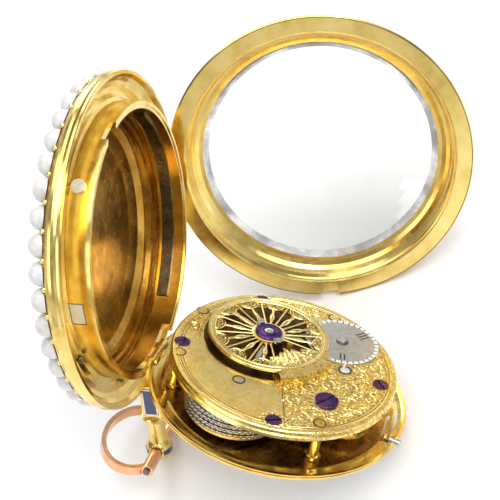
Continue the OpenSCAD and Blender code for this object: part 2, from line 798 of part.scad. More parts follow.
// Flat spiral of the balance spring, under the balance
module balance_spring() {
    turns = 2.5;
    steps = 60;
    strip = 0.09;
    r0 = 0.75;
    r1 = 3.4;
    function spiral(i, side) =
        let (k = i / steps, a = 360 * turns * k, r = r0 + (r1 - r0) * k + side * strip / 2) r * [cos(a), sin(a)];
    color("steelblue") in_movement()
        at(balance_at, -3.85) rotate(85)
            linear_extrude(0.16)
                polygon(concat([for (i = [0:steps]) spiral(i, 1)], [for (i = [steps:-1:0]) spiral(i, -1)]));
}

module spring_stud() {
    color("gold") in_movement()
        at(balance_at) rotate(-95) translate([3.5, -0.35, -3.88]) cube([0.9, 0.7, 0.69]);
}

// Toothed arc in the balance's well, with the arm and curb pins that grip the spring
module regulator_rack() {
    level = -3.42;
    thick = 0.2;
    centre = heading(balance_at, figure_at);
    color("gold") in_movement()
        at(balance_at, level) {
            intersection() {
                toothed(rack_teeth, rack_pitch, thick, centre, rack_pitch - 1.1, 0.3);
                rotate(centre - 28) linear_extrude(thick) polygon([[0, 0], [15, 0], [10, 11.1]]);
            }
            rotate(-125) {
                translate([3, -0.3, 0]) cube([7.4, 0.6, thick]);
                for (side = [-1, 1])
                    translate([3.31 + side * 0.16, 0, -0.42]) cylinder(r = 0.07, h = 0.5, $fn = 16);
            }
        }
}

// Silvered disc with the regulator's numerals
module figure_plate() {
    color("silver") in_movement()
        at(figure_at, plate_back - 0.1)
            difference() {
                cylinder(r = figure_r, h = 0.18, $fn = 96);
                translate([0, 0, -1]) cylinder(r = 0.6, h = 3);
            }
}

module regulator_arbor() {
    color("silver") in_movement()
        at(figure_at, plate_back - 0.85) {
            rotate(20) translate([-0.65, -0.65, 0]) cube([1.3, 1.3, 0.7]);
            translate([0, 0, 0.7]) cylinder(r = 0.58, h = 0.72);
            translate([0, 0, 0.97])
                toothed(pinion_teeth, pinion_pitch, 0.2, heading(figure_at, balance_at) + 180 / pinion_teeth,
                        0, 0.3);
        }
}

module index_pointer() {
    color("gold") in_movement() {
        at(index_at, plate_back + 0.02) cylinder(r = 0.85, h = 0.3);
        translate([-3.4, -10, plate_back - 0.32]) cube([1.6, 0.45, 0.2]);
        translate([-2.2, -10, plate_back - 0.3]) cube([0.4, 0.45, 0.4]);
    }
}

// ---- Movement: power ----

barrel_r = 8.1;

module barrel() {
    color("gold") in_movement()
        at(barrel_at)
            difference() {
                translate([0, 0, -1.8]) cylinder(r = barrel_r, h = 3.7, $fn = 96);
                translate([0, 0, -1.45]) cylinder(r = barrel_r - 0.45, h = 6, $fn = 96);
                translate([0, 0, -3]) cylinder(r = 0.65 + run_gap, h = 6);
            }
}

module barrel_cover() {
    color("khaki") in_movement()
        at(barrel_at)
            difference() {
                translate([0, 0, 1.9]) cylinder(r = barrel_r, h = 0.3, $fn = 96);
                translate([0, 0, 1]) cylinder(r = 0.65 + run_gap, h = 2);
            }
}

// Coiled steel strip inside the barrel, drawn as rings
module mainspring() {
    color("dimgray") in_movement()
        at(barrel_at)
            for (r = [3.4:0.9:7.2]) tube(r + 0.25, r, -1.4, 1.7);
}

module barrel_arbor() {
    ratchet_teeth = 20;
    color("silver") in_movement()
        at(barrel_at) {
            translate([0, 0, plate_back - 0.1]) cylinder(r = 0.58, h = 0.5);
            translate([0, 0, plate_back + 0.1]) cylinder(r = 0.42, h = 1.15);
            translate([0, 0, plate_front + 0.03]) cylinder(r = 0.65, h = 6.9);
            translate([0, 0, pillar_front + 0.05])
                linear_extrude(0.3)
                    polygon([for (i = [0:ratchet_teeth - 1], p = [[2.6, 0], [2.1, 1]])
                        let (a = 360 * (i + p[1]) / ratchet_teeth) p[0] * [cos(a), sin(a)]]);
        }
}

module setup_click() {
    color("silver") in_movement()
        at(barrel_at, pillar_front)
            rotate(200) {
                translate([3.4, 0.5, 0]) cylinder(r = 0.5, h = 0.3);
                translate([0, 0, 0.05]) linear_extrude(0.25) polygon([[3.7, 0.3], [3.1, -0.9], [2.7, -1], [3, 0.8]]);
            }
}

// Rows of chain on the barrel, the straight run and the first part of a turn on the fusee
module chain() {
    row_h = 0.72;
    row_t = 0.42;
    tangent_barrel = barrel_r + 0.02;
    color("dimgray") in_movement() {
        at(barrel_at)
            for (i = [0:3])
                tube(tangent_barrel + row_t, tangent_barrel, -1.75 + 0.9 * i, -1.75 + 0.9 * i + row_h);
    }
}

fusee_base_r = 6.2;
fusee_top_r = 3;

// Grooved cone with its arbor and winding square
module fusee() {
    grooves = 7;
    base_z = 1.55;
    top_z = -1.7;
    pitch = (base_z - top_z) / grooves;
    function radius_at(k) = fusee_base_r * fusee_top_r / (fusee_top_r + (fusee_base_r - fusee_top_r) * k);
    color("khaki") in_movement()
        at(fusee_at) {
            rotate_extrude()
                polygon(concat(
                    [[0, base_z]],
                    [for (i = [0:grooves - 1], p = [[0, 0], [-0.22, 0.3], [-0.22, 0.7], [0, 1]])
                        [radius_at((i + p[1]) / grooves) + p[0], base_z - pitch * (i + p[1])]],
                    [[0, top_z]]));
            translate([0, 0, plate_back + 0.4]) cylinder(r = 0.42, h = 1.75);
            translate([0, 0, base_z]) cylinder(r = 0.7, h = 2.9);
            translate([-0.6, -0.6, 4.4]) cube([1.2, 1.2, 1.2]);
        }
}

module great_wheel() {
    color("gold") in_movement()
        at(fusee_at, 1.75)
            toothed(great_teeth, great_pitch, 0.4, heading(fusee_at, [0, 0]), 0.7);
}

// Stop arm that the chain lifts into the fusee's path when it is fully wound
module stop_iron() {
    color("silver") in_movement()
        translate([0, 0, plate_front]) {
            linear_extrude(0.35) polygon([[-11.6, -13.6], [-10.7, -14.3], [-6.6, -10.9], [-7.3, -10.2]]);
            at([-10.9, -13.6]) cylinder(r = 0.6, h = 0.6);
        }
}

// ---- Movement: train ----

module centre_wheel() {
    z = 2.9;
    color("gold") in_movement() {
        difference() {
            translate([0, 0, z]) toothed(centre_teeth, centre_pitch, 0.3, heading([0, 0], third_at), 0, 0.3);
            translate([0, 0, z]) arm_windows(4, 1.9, centre_pitch - 0.9, 0.6, 0.3);
            translate([0, 0, z - 1]) cylinder(r = 0.5, h = 3);
        }
        translate([0, 0, plate_back + 0.55]) cylinder(r = 0.2, h = 0.7);
        translate([0, 0, plate_front + 0.02]) cylinder(r = 0.5, h = 8.3);
        translate([0, 0, 1.5])
            toothed(centre_leaves, centre_pinion_pitch, 0.8, heading([0, 0], fusee_at) + 180 / centre_leaves);
    }
}

module third_wheel() {
    color("gold") in_movement()
        at(third_at) {
            difference() {
                translate([0, 0, 2.35])
                    toothed(third_teeth, third_pitch, 0.28, heading(third_at, contrate_at));
                translate([0, 0, 2.35]) arm_windows(4, 1.4, third_pitch - 0.8, 0.5, 0.28);
            }
            translate([0, 0, plate_back + 0.55]) cylinder(r = 0.2, h = 0.7);
            translate([0, 0, plate_front + 0.02]) cylinder(r = 0.4, h = 5.6);
            translate([0, 0, 2.8])
                toothed(small_leaves, third_pinion_pitch, 0.5, heading(third_at, [0, 0]) + 180 / small_leaves,
                        0, 0.2);
        }
}

// Wheel whose teeth stand up from its rim, at right angles to the crown wheel's arbor
module contrate_wheel() {
    web_z = 1.75;
    tooth_z = crown_z + crown_pinion_pitch - 0.08;
    first = heading(contrate_at, balance_at);
    color("gold") in_movement()
        at(contrate_at) {
            difference() {
                translate([0, 0, web_z]) cylinder(r = 4.4, h = 0.25);
                translate([0, 0, web_z]) arm_windows(4, 1.1, 3.6, 0.5, 0.25);
            }
            tube(4.4, 4, 1.2, web_z + 0.1);
            for (i = [0:third_teeth - 1])
                rotate(first + 360 * i / third_teeth)
                    translate([4, 0, 1.25]) rotate([90, 0, 90])
                        linear_extrude(0.4)
                            polygon([[-0.1, 0], [-0.05, tooth_z - 1.25], [0.05, tooth_z - 1.25], [0.1, 0]]);
            translate([0, 0, plate_back + 0.55]) cylinder(r = 0.2, h = 0.7);
            translate([0, 0, plate_front + 0.02]) cylinder(r = 0.35, h = 5.1);
            translate([0, 0, 2.2])
                toothed(small_leaves, contrate_pinion_pitch, 0.6,
                        heading(contrate_at, third_at) + 180 / small_leaves);
        }
}

// Escape wheel: saw teeth that point at the verge
module crown_wheel() {
    tooth_h = 0.55;
    band = 0.25;
    color("gold") in_movement()
        crown_line(0.65) {
            for (i = [0:crown_teeth - 1])
                rotate(360 * (i + 0.25) / crown_teeth + 90) translate([crown_tip_r - band, 0, 0]) rotate([90, 0, 90])
                    linear_extrude(band) polygon([[-0.02, 0], [0.04, 0], [0.26, tooth_h + 0.1], [-0.06, tooth_h + 0.1]]);
            tube(crown_tip_r, crown_tip_r - band, tooth_h, tooth_h + 0.7);
            difference() {
                translate([0, 0, tooth_h + 0.45]) cylinder(r = crown_tip_r, h = 0.25);
                translate([0, 0, tooth_h + 0.45]) arm_windows(3, 0.7, crown_tip_r - 0.4, 0.4, 0.25);
            }
            translate([0, 0, 0.3]) cylinder(r = 0.14, h = 0.3);
            translate([0, 0, 0.6]) cylinder(r = 0.25, h = 13.9);
            translate([0, 0, 13.15])
                toothed(small_leaves, crown_pinion_pitch, 1, -90 + 180 / small_leaves);
            translate([0, 0, 14.5]) cylinder(r = 0.14, h = 0.6);
        }
}

// ---- Movement: motion work and hands ----

module cannon_pinion() {
    leaves = 12;
    color("silver") in_movement()
        difference() {
            union() {
                translate([0, 0, pillar_front + 0.1])
                    toothed(leaves, norm(minute_at) * leaves / 48, 0.35, heading([0, 0], minute_at) + 180 / leaves);
                translate([0, 0, pillar_front + 0.1]) cylinder(r = 0.75, h = 2.6);
            }
            translate([0, 0, 0]) cylinder(r = 0.5, h = 6);
        }
}

module minute_wheel() {
    teeth = 36;
    color("gold") in_movement()
        at(minute_at) {
            translate([0, 0, pillar_front + 0.12])
                toothed(teeth, norm(minute_at) * teeth / 48, 0.22, heading(minute_at, [0, 0]));
            translate([0, 0, pillar_front + 0.34])
                toothed(10, norm(minute_at) * 10 / 50, 0.28, heading(minute_at, [0, 0]) + 18);
            translate([0, 0, pillar_back + 0.2]) cylinder(r = 0.28, h = 1.2);
        }
}

module hour_wheel() {
    teeth = 40;
    color("gold") in_movement()
        difference() {
            union() {
                translate([0, 0, pillar_front + 0.5])
                    toothed(teeth, norm(minute_at) * teeth / 50, 0.2, heading([0, 0], minute_at));
                translate([0, 0, pillar_front + 0.5]) cylinder(r = 1.15, h = 1.6);
            }
            cylinder(r = 0.75 + run_gap, h = 20);
        }
}

// A beetle hand: ring near the tip, tapered arm
module hand(length, ring, bore, thick) {
    difference() {
        union() {
            cylinder(r = bore + 0.7, h = thick);
            linear_extrude(thick)
                polygon([[-0.4, 0], [-0.18, length - 3], [0.18, length - 3], [0.4, 0]]);
            translate([0, length - 3, 0]) cylinder(r = ring, h = thick);
            linear_extrude(thick)
                polygon([[-0.3, length - 3], [0, length], [0.3, length - 3]]);
        }
        translate([0, 0, -1]) cylinder(r = bore, h = 3);
        translate([0, length - 3, -1]) cylinder(r = ring - 0.35, h = 3);
    }
}

module hour_hand() {
    color("goldenrod") in_movement()
        translate([0, 0, pillar_front + 1.75]) rotate(-305) hand(11, 1.2, 1.15, 0.2);
}

module minute_hand() {
    color("goldenrod") in_movement()
        translate([0, 0, pillar_front + 2.3]) rotate(-60) hand(16, 0.9, 0.75, 0.2);
}

// ---- Movement: catch ----

module catch_bolt() {
    color("silver") in_movement()
        azimuth(168) {
            translate([-0.6, 20.35, -2.4]) cube([1.2, 0.55, 5.2]);
            translate([-0.6, 19.9, 2.6]) cube([1.2, 1, 1.1]);
            translate([0, 20.6, 2.9]) rotate([-90, 0, 0]) cylinder(r = 0.4, h = 1.5);
            translate([0, 21.9, 2.9]) rotate([-90, 0, 0]) cylinder(r = 0.6, h = 0.8);
        }
}

module catch_spring() {
    color("slategray") in_movement()
        azimuth(168) {
            translate([-0.5, 19.42, -1]) cube([1, 0.12, 3.5]);
            translate([-0.5, 19.42, -1.1]) cube([1, 0.48, 0.12]);
        }
}

case_band();
case_collar();
case_back();
back_enamel();
back_pearls();
collar_screw();
channel_screws();
case_spring();
movement_hinge_pin();
bezel_hinge_pin();
pendant();
pendant_enamel();
bow_screw();
bezel_catch();
bezel_ring();
crystal();
front_pearls();
bow_ring();
pillar_plate();
brass_edge();
dial();
pillars();
top_plate();
barrel_bridge();
balance_cock();
cock_screw();
coqueret();
cap_screws();
plate_screws();
potence();
counter_potence();
edge_scroll();
balance_spring();
spring_stud();
regulator_rack();
figure_plate();
regulator_arbor();
index_pointer();
stop_iron();
barrel();
barrel_cover();
mainspring();
barrel_arbor();
setup_click();
chain();
fusee();
great_wheel();
centre_wheel();
third_wheel();
contrate_wheel();
crown_wheel();
verge_staff();
balance_wheel();
cannon_pinion();
minute_wheel();
hour_wheel();
hour_hand();
minute_hand();
catch_bolt();
catch_spring();
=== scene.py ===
"""Looks of the open pocket watch: materials, engraved and pierced work, chain, pearls' settings,
enamel and studio. Local lengths are in millimetres in the closed watch's frame (X to 3 o'clock,
Y to 12 o'clock, Z out of the dial); each place matrix opens them into the row's frame."""
import math
import random

import bpy
from mathutils import Matrix, Vector


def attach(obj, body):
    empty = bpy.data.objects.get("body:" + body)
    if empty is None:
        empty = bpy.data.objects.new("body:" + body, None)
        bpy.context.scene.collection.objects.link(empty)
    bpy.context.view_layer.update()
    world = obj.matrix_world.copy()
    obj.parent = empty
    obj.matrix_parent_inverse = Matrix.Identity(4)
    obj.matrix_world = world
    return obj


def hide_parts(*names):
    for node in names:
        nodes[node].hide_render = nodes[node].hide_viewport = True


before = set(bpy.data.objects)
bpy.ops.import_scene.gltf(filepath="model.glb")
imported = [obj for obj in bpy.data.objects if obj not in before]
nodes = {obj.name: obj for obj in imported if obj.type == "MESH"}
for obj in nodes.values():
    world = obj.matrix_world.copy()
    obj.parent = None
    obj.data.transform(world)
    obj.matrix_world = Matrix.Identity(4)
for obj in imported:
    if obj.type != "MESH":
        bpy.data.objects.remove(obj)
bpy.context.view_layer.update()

MM = 0.001
TAU = 2 * math.pi
dice = random.Random(7)


# ---- Places ----

def turn(axis, degrees):
    return Matrix.Rotation(math.radians(degrees), 4, axis)


def shift(x, y, z):
    return Matrix.Translation((x, y, z))


def swung(hinge, rotation):
    """The case's place turned about a hinge given in the closed watch's frame."""
    x, y, z = hinge
    return REST @ shift(x, y, z) @ rotation @ shift(-x, -y, -z)


BEZEL_HINGE = (-26.32, 0, 0)
MOVEMENT_HINGE = (0, 21.65, 2.5)
REST = shift(16.94, 6.6, 42.11) @ turn("Z", 90) @ turn("X", -9.3) @ turn("Y", -21.9) @ turn("X", -90)
BEZEL = swung(BEZEL_HINGE, turn("Y", -101.98))
MOVE = swung(MOVEMENT_HINGE, turn("X", -105.57))

BALANCE = (-4.0, 4.1)
BARREL = (9.35, 5.4)
FIGURE = (-9.7, -8.0)
PLATE_BACK = -3.54
TABLE_BACK = -5.04
TABLE_FRONT = TABLE_BACK + 0.5
TABLE_R = 10.4
WELL_FLOOR = -3.19
FIGURE_BACK = PLATE_BACK - 0.1
CHAIN_R = 8.12


def azimuth(degrees, radius):
    """A point on the dial: 0 degrees at 12 o'clock, clockwise."""
    a = math.radians(degrees)
    return radius * math.sin(a), radius * math.cos(a)


def polar(centre, degrees, radius):
    a = math.radians(degrees)
    return centre[0] + radius * math.cos(a), centre[1] + radius * math.sin(a)


# ---- Mesh code ----

class Shape:
    """Vertices and faces of one piece, in local millimetres."""

    def __init__(self):
        self.verts, self.faces = [], []

    def add(self, verts, faces):
        base = len(self.verts)
        self.verts.extend(verts)
        self.faces.extend(tuple(base + i for i in f) for f in faces)

    def lathe(self, profile, count=96, at=(0, 0), closed=True, arc=None):
        """A turned part. profile: (radius, z) points; closed joins the last to the first."""
        a0, a1 = arc or (0, 360)
        whole = arc is None
        rings = count if whole else count + 1
        verts, faces, n = [], [], len(profile)
        for k in range(rings):
            a = math.radians(a0 + (a1 - a0) * k / count)
            verts += [(at[0] + r * math.cos(a), at[1] + r * math.sin(a), z) for r, z in profile]
        for k in range(count):
            p, q = k * n, (k + 1) % rings * n
            for i in range(n if closed else n - 1):
                j = (i + 1) % n
                faces.append((p + i, q + i, q + j, p + j))
        if not whole and closed:
            faces.append(tuple(range(n)))
            faces.append(tuple(reversed(range(count * n, count * n + n))))
        self.add(verts, faces)

    def prism(self, outline, z0, z1):
        """An outline raised from z0 to z1."""
        n = len(outline)
        verts = [(x, y, z0) for x, y in outline] + [(x, y, z1) for x, y in outline]
        faces = [tuple(reversed(range(n))), tuple(range(n, 2 * n))]
        faces += [(i, (i + 1) % n, n + (i + 1) % n, n + i) for i in range(n)]
        self.add(verts, faces)

    def bead(self, x, y, z, r, squash=1.0, rings=4, count=8):
        """A small ball; squash flattens it along Z."""
        verts = [(x, y, z + r * squash)]
        for i in range(1, rings):
            b = math.pi * i / rings
            verts += [(x + r * math.sin(b) * math.cos(TAU * k / count),
                       y + r * math.sin(b) * math.sin(TAU * k / count),
                       z + r * squash * math.cos(b)) for k in range(count)]
        verts.append((x, y, z - r * squash))
        last = len(verts) - 1
        faces = [(0, 1 + k, 1 + (k + 1) % count) for k in range(count)]
        for i in range(rings - 2):
            p = 1 + i * count
            faces += [(p + k, p + count + k, p + count + (k + 1) % count, p + (k + 1) % count)
                      for k in range(count)]
        p = 1 + (rings - 2) * count
        faces += [(p + k, last, p + (k + 1) % count) for k in range(count)]
        self.add(verts, faces)

    def rod(self, path, radii, sides=8, flat=1.0):
        """A round bar along 3-D points; flat squeezes it along Z."""
        verts, faces = [], []
        for i, p in enumerate(path):
            a, b = Vector(path[max(i - 1, 0)]), Vector(path[min(i + 1, len(path) - 1)])
            t = (b - a).normalized()
            u = t.cross(Vector((0, 0, 1)))
            u = u.normalized() if u.length > 1e-6 else Vector((1, 0, 0))
            w = t.cross(u)
            for k in range(sides):
                c, s = math.cos(TAU * k / sides), math.sin(TAU * k / sides)
                d = u * (c * radii[i]) + w * (s * radii[i] * flat)
                verts.append((p[0] + d.x, p[1] + d.y, p[2] + d.z))
        for i in range(len(path) - 1):
            p, q = i * sides, (i + 1) * sides
            faces += [(p + k, p + (k + 1) % sides, q + (k + 1) % sides, q + k) for k in range(sides)]
        faces += [tuple(reversed(range(sides))), tuple(range(len(verts) - sides, len(verts)))]
        self.add(verts, faces)

    def ridge(self, path, widths, z, height):
        """A raised line on a face that looks to -Z: a low roof that tapers with widths."""
        verts, faces = [], []
        for i, (x, y) in enumerate(path):
            ax, ay = path[max(i - 1, 0)]
            bx, by = path[min(i + 1, len(path) - 1)]
            d = math.hypot(bx - ax, by - ay) or 1
            nx, ny, w = -(by - ay) / d, (bx - ax) / d, widths[i] / 2
            verts += [(x + nx * w, y + ny * w, z), (x, y, z - height * widths[i] / max(widths)),
                      (x - nx * w, y - ny * w, z)]
        for i in range(len(path) - 1):
            p, q = 3 * i, 3 * i + 3
            faces += [(p, p + 1, q + 1, q), (p + 1, p + 2, q + 2, q + 1)]
        self.add(verts, faces)


def make(name, shape, place, body, material, replaces=(), sharp=35):
    """A piece that rides with a body; edges sharper than sharp degrees stay crisp."""
    mesh = bpy.data.meshes.new(name)
    mesh.from_pydata([tuple((place @ Vector(v)) * MM) for v in shape.verts], [], shape.faces)
    mesh.validate()
    mesh.polygons.foreach_set("use_smooth", [True] * len(mesh.polygons))
    mesh.set_sharp_from_angle(angle=math.radians(sharp))
    mesh.materials.append(material)
    obj = bpy.data.objects.new(name, mesh)
    bpy.context.scene.collection.objects.link(obj)
    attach(obj, body)
    if replaces:
        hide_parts(*replaces)
    return obj


# ---- Materials ----

def new_material(name):
    mat = bpy.data.materials.new(name)
    mat.use_nodes = True
    tree = mat.node_tree
    shader = tree.nodes["Principled BSDF"]
    place = tree.nodes.new("ShaderNodeTexCoord")
    return mat, tree, shader, place.outputs["Object"]


def noise(tree, coords, per_mm, detail=4, rough=0.55, stretch=(1, 1, 1), distortion=0.0):
    """Noise with per_mm features in a millimetre."""
    mapping = tree.nodes.new("ShaderNodeMapping")
    mapping.inputs["Scale"].default_value = tuple(per_mm / MM * s for s in stretch)
    tree.links.new(coords, mapping.inputs["Vector"])
    n = tree.nodes.new("ShaderNodeTexNoise")
    n.inputs["Scale"].default_value = 1
    n.inputs["Detail"].default_value = detail
    n.inputs["Roughness"].default_value = rough
    n.inputs["Distortion"].default_value = distortion
    tree.links.new(mapping.outputs["Vector"], n.inputs["Vector"])
    return n.outputs["Fac"]


def ramp(tree, value, stops):
    """Colour from a value; stops: (position, colour), first to last."""
    r = tree.nodes.new("ShaderNodeValToRGB")
    el = r.color_ramp.elements
    el[0].position, el[0].color = stops[0][0], (*stops[0][1], 1)
    el[1].position, el[1].color = stops[-1][0], (*stops[-1][1], 1)
    for at, colour in stops[1:-1]:
        e = el.new(at)
        e.color = (*colour, 1)
    tree.links.new(value, r.inputs["Fac"])
    return r.outputs["Color"]


def span(tree, value, low, high, src=(0.3, 0.7)):
    """The value stretched from the range src to low and high."""
    m = tree.nodes.new("ShaderNodeMapRange")
    m.inputs["From Min"].default_value, m.inputs["From Max"].default_value = src
    m.inputs["To Min"].default_value, m.inputs["To Max"].default_value = low, high
    tree.links.new(value, m.inputs["Value"])
    return m.outputs["Result"]


def bump(tree, shader, heights):
    """heights: list of (value, strength, depth in mm), stacked."""
    last = None
    for value, strength, depth in heights:
        b = tree.nodes.new("ShaderNodeBump")
        b.inputs["Strength"].default_value = strength
        b.inputs["Distance"].default_value = depth * MM
        tree.links.new(value, b.inputs["Height"])
        if last is not None:
            tree.links.new(last, b.inputs["Normal"])
        last = b.outputs["Normal"]
    tree.links.new(last, shader.inputs["Normal"])


def metal(name, stops, rough, spots=0.35, grain=9.0, depth=0.012, strength=0.25, stretch=(1, 1, 1),
          metallic=1.0):
    """A metal with cloudy tone, uneven polish and fine grain."""
    mat, tree, shader, coords = new_material(name)
    shader.inputs["Metallic"].default_value = metallic
    cloud = noise(tree, coords, spots, 5, 0.6)
    tree.links.new(ramp(tree, cloud, stops), shader.inputs["Base Color"])
    tree.links.new(span(tree, noise(tree, coords, spots * 3, 5, 0.65), *rough), shader.inputs["Roughness"])
    fine = noise(tree, coords, grain, 3, 0.6, stretch)
    slow = noise(tree, coords, spots, 2, 0.5)
    bump(tree, shader, [(slow, strength * 0.5, depth * 6), (fine, strength, depth)])
    return mat


GILT = [(0.25, (0.68, 0.46, 0.12)), (0.5, (0.87, 0.65, 0.21)), (0.75, (0.95, 0.76, 0.3))]
GILT_PALE = [(0.25, (0.84, 0.63, 0.2)), (0.5, (0.95, 0.77, 0.31)), (0.75, (0.99, 0.85, 0.42))]
# Darkened gilt for the inside of the case back: painted shade in the bowl.
GILT_SHADED = [(0.25, (0.25, 0.12, 0.018)), (0.5, (0.42, 0.23, 0.04)), (0.75, (0.6, 0.37, 0.08))]

gilt = metal("gilt_polished", GILT, (0.1, 0.24), 0.25, 7, 0.01, 0.15)
gilt_bezel = metal("gilt_bezel", GILT, (0.12, 0.26), 0.2, 10, 0.01, 0.2)
# The case back's bowl gets the darkened gilt: painted shade.
gilt_bowl_shaded = metal("gilt_bowl", GILT_SHADED, (0.14, 0.3), 0.22, 4, 0.03, 0.3)
gilt_plain = metal("gilt_bridge", GILT_PALE, (0.16, 0.3), 0.35, 3, 0.01, 0.22, (1, 6, 6))
gilt_line = metal("gilt_relief", GILT_PALE, (0.12, 0.24), 0.8, 16, 0.01, 0.2)
gilt_wheel = metal("gilt_wheels", GILT, (0.22, 0.38), 0.6, 16, 0.01, 0.25)
brass_floor = metal("brass_floor", [(0.2, (0.2, 0.1, 0.025)), (0.5, (0.4, 0.23, 0.06)),
                                    (0.8, (0.58, 0.37, 0.11))], (0.18, 0.4), 0.3, 8, 0.02, 0.3)
# Dark brass for the well's floor: painted shade in the sunk well under the pierced table.
brass_painted_shade = metal("brass_painted_shade", [(0.2, (0.05, 0.025, 0.008)), (0.5, (0.13, 0.07, 0.02)),
                                  (0.8, (0.25, 0.15, 0.04))], (0.3, 0.5), 0.4, 8, 0.02, 0.3)
rose = metal("rose_gilt", [(0.25, (0.72, 0.36, 0.18)), (0.5, (0.85, 0.48, 0.27)),
                           (0.75, (0.93, 0.62, 0.4))], (0.14, 0.28), 0.4, 9, 0.01, 0.2)
steel = metal("steel_bright", [(0.3, (0.55, 0.54, 0.52)), (0.7, (0.8, 0.79, 0.77))], (0.14, 0.3), 0.8, 20,
              0.008, 0.25, (1, 8, 1))
# Pale, half-metallic steel: its whiteness is partly painted reflection, standing in for the bright sheen on
# the polished bezel catch.
steel_pale = metal("steel_pale", [(0.3, (0.7, 0.69, 0.67)), (0.7, (0.9, 0.89, 0.87))], (0.35, 0.5), 0.8, 20,
                   0.008, 0.25, metallic=0.55)
steel_dark = metal("steel_dark", [(0.3, (0.09, 0.08, 0.075)), (0.7, (0.24, 0.22, 0.2))], (0.2, 0.4), 0.7,
                   18, 0.01, 0.3)
blued = metal("steel_blued", [(0.3, (0.045, 0.035, 0.16)), (0.5, (0.12, 0.06, 0.25)),
                              (0.72, (0.23, 0.1, 0.2))], (0.14, 0.28), 0.5, 20, 0.006, 0.2)
chain_steel = metal("steel_chain", [(0.3, (0.32, 0.31, 0.3)), (0.5, (0.6, 0.58, 0.56)),
                                    (0.7, (0.82, 0.8, 0.77))], (0.18, 0.36), 1.6, 20, 0.01, 0.3)
silvered = metal("silvered_disc", [(0.3, (0.52, 0.51, 0.49)), (0.7, (0.7, 0.69, 0.67))], (0.34, 0.5), 1.0,
                 22, 0.01, 0.45)


def engraved_ground(name):
    """Gilt between the scrolls: stippled, with browner hollows."""
    mat, tree, shader, coords = new_material(name)
    shader.inputs["Metallic"].default_value = 1
    mapping = tree.nodes.new("ShaderNodeMapping")
    mapping.inputs["Scale"].default_value = (1 / MM,) * 3
    tree.links.new(coords, mapping.inputs["Vector"])
    cells = tree.nodes.new("ShaderNodeTexVoronoi")
    cells.feature = "DISTANCE_TO_EDGE"
    cells.inputs["Scale"].default_value = 2.1
    swirl = noise(tree, coords, 0.9, 4, 0.6, distortion=2.2)
    tree.links.new(mapping.outputs["Vector"], cells.inputs["Vector"])
    hollow = ramp(tree, swirl, [(0.36, (0.5, 0.32, 0.08)), (0.5, (0.84, 0.62, 0.2)),
                                (0.62, (0.97, 0.79, 0.34))])
    tree.links.new(hollow, shader.inputs["Base Color"])
    tree.links.new(span(tree, swirl, 0.34, 0.2), shader.inputs["Roughness"])
    fine = noise(tree, coords, 7, 3, 0.6, distortion=1.0)
    bump(tree, shader, [(swirl, 0.5, 0.12), (cells.outputs["Distance"], 0.3, 0.05), (fine, 0.25, 0.015)])
    return mat


gilt_ground = engraved_ground("gilt_engraved")


def gloss(name, stops, rough, coat=1.0, spots=0.5, depth=0.01, **sockets):
    """Enamel and pearl: coated, with soft tone changes."""
    mat, tree, shader, coords = new_material(name)
    cloud = noise(tree, coords, spots, 4, 0.55)
    tree.links.new(ramp(tree, cloud, stops), shader.inputs["Base Color"])
    tree.links.new(span(tree, cloud, *rough), shader.inputs["Roughness"])
    shader.inputs["Coat Weight"].default_value = coat
    shader.inputs["Coat Roughness"].default_value = 0.06
    for key, value in sockets.items():
        shader.inputs[key.replace("_", " ")].default_value = value
    bump(tree, shader, [(noise(tree, coords, spots * 6, 3, 0.5), 0.2, depth)])
    return mat


pearl = gloss("pearl", [(0.3, (0.56, 0.54, 0.51)), (0.5, (0.68, 0.67, 0.65)), (0.7, (0.62, 0.65, 0.68))],
              (0.2, 0.34), 0.5, 0.35, 0.02, Subsurface_Weight=0.25, Subsurface_Scale=0.001,
              Sheen_Weight=0.15)
enamel_blue = gloss("enamel_blue", [(0.3, (0.008, 0.01, 0.06)), (0.7, (0.02, 0.03, 0.14))], (0.1, 0.2))


def guilloche():
    """Clear blue over an engine-turned ground: waved rays and rings about the back's centre."""
    mat, tree, shader, coords = new_material("enamel_back")
    back = REST.inverted()
    local = tree.nodes.new("ShaderNodeMapping")
    local.inputs["Scale"].default_value = (1 / MM,) * 3
    local.inputs["Rotation"].default_value = back.to_euler()
    local.inputs["Location"].default_value = back.translation
    tree.links.new(coords, local.inputs["Vector"])
    split = tree.nodes.new("ShaderNodeSeparateXYZ")
    tree.links.new(local.outputs["Vector"], split.inputs["Vector"])

    def calc(operation, a, b=None):
        m = tree.nodes.new("ShaderNodeMath")
        m.operation = operation
        for socket, v in zip(m.inputs, (a, b)):
            if isinstance(v, (int, float)):
                socket.default_value = v
            elif v is not None:
                tree.links.new(v, socket)
        return m.outputs["Value"]

    x, y = split.outputs["X"], split.outputs["Y"]
    reach = calc("SQRT", calc("ADD", calc("MULTIPLY", x, x), calc("MULTIPLY", y, y)))
    wave = calc("MULTIPLY", calc("SINE", calc("MULTIPLY", reach, 1.9)), 1.1)
    rays = calc("SINE", calc("ADD", calc("MULTIPLY", calc("ARCTAN2", y, x), 36), wave))
    rings = calc("SINE", calc("MULTIPLY", reach, 5.5))
    work = calc("ADD", calc("MULTIPLY", rays, 0.35), calc("MULTIPLY", rings, 0.15))
    lift = calc("ADD", work, 0.5)
    tree.links.new(ramp(tree, lift, [(0.1, (0.004, 0.008, 0.07)), (0.5, (0.01, 0.025, 0.17)),
                                     (0.9, (0.03, 0.08, 0.36))]), shader.inputs["Base Color"])
    tree.links.new(span(tree, noise(tree, coords, 0.4, 4), 0.2, 0.3), shader.inputs["Roughness"])
    shader.inputs["Metallic"].default_value = 0.35
    shader.inputs["Coat Weight"].default_value = 1
    shader.inputs["Coat Roughness"].default_value = 0.04
    bump(tree, shader, [(lift, 0.35, 0.25)])
    return mat


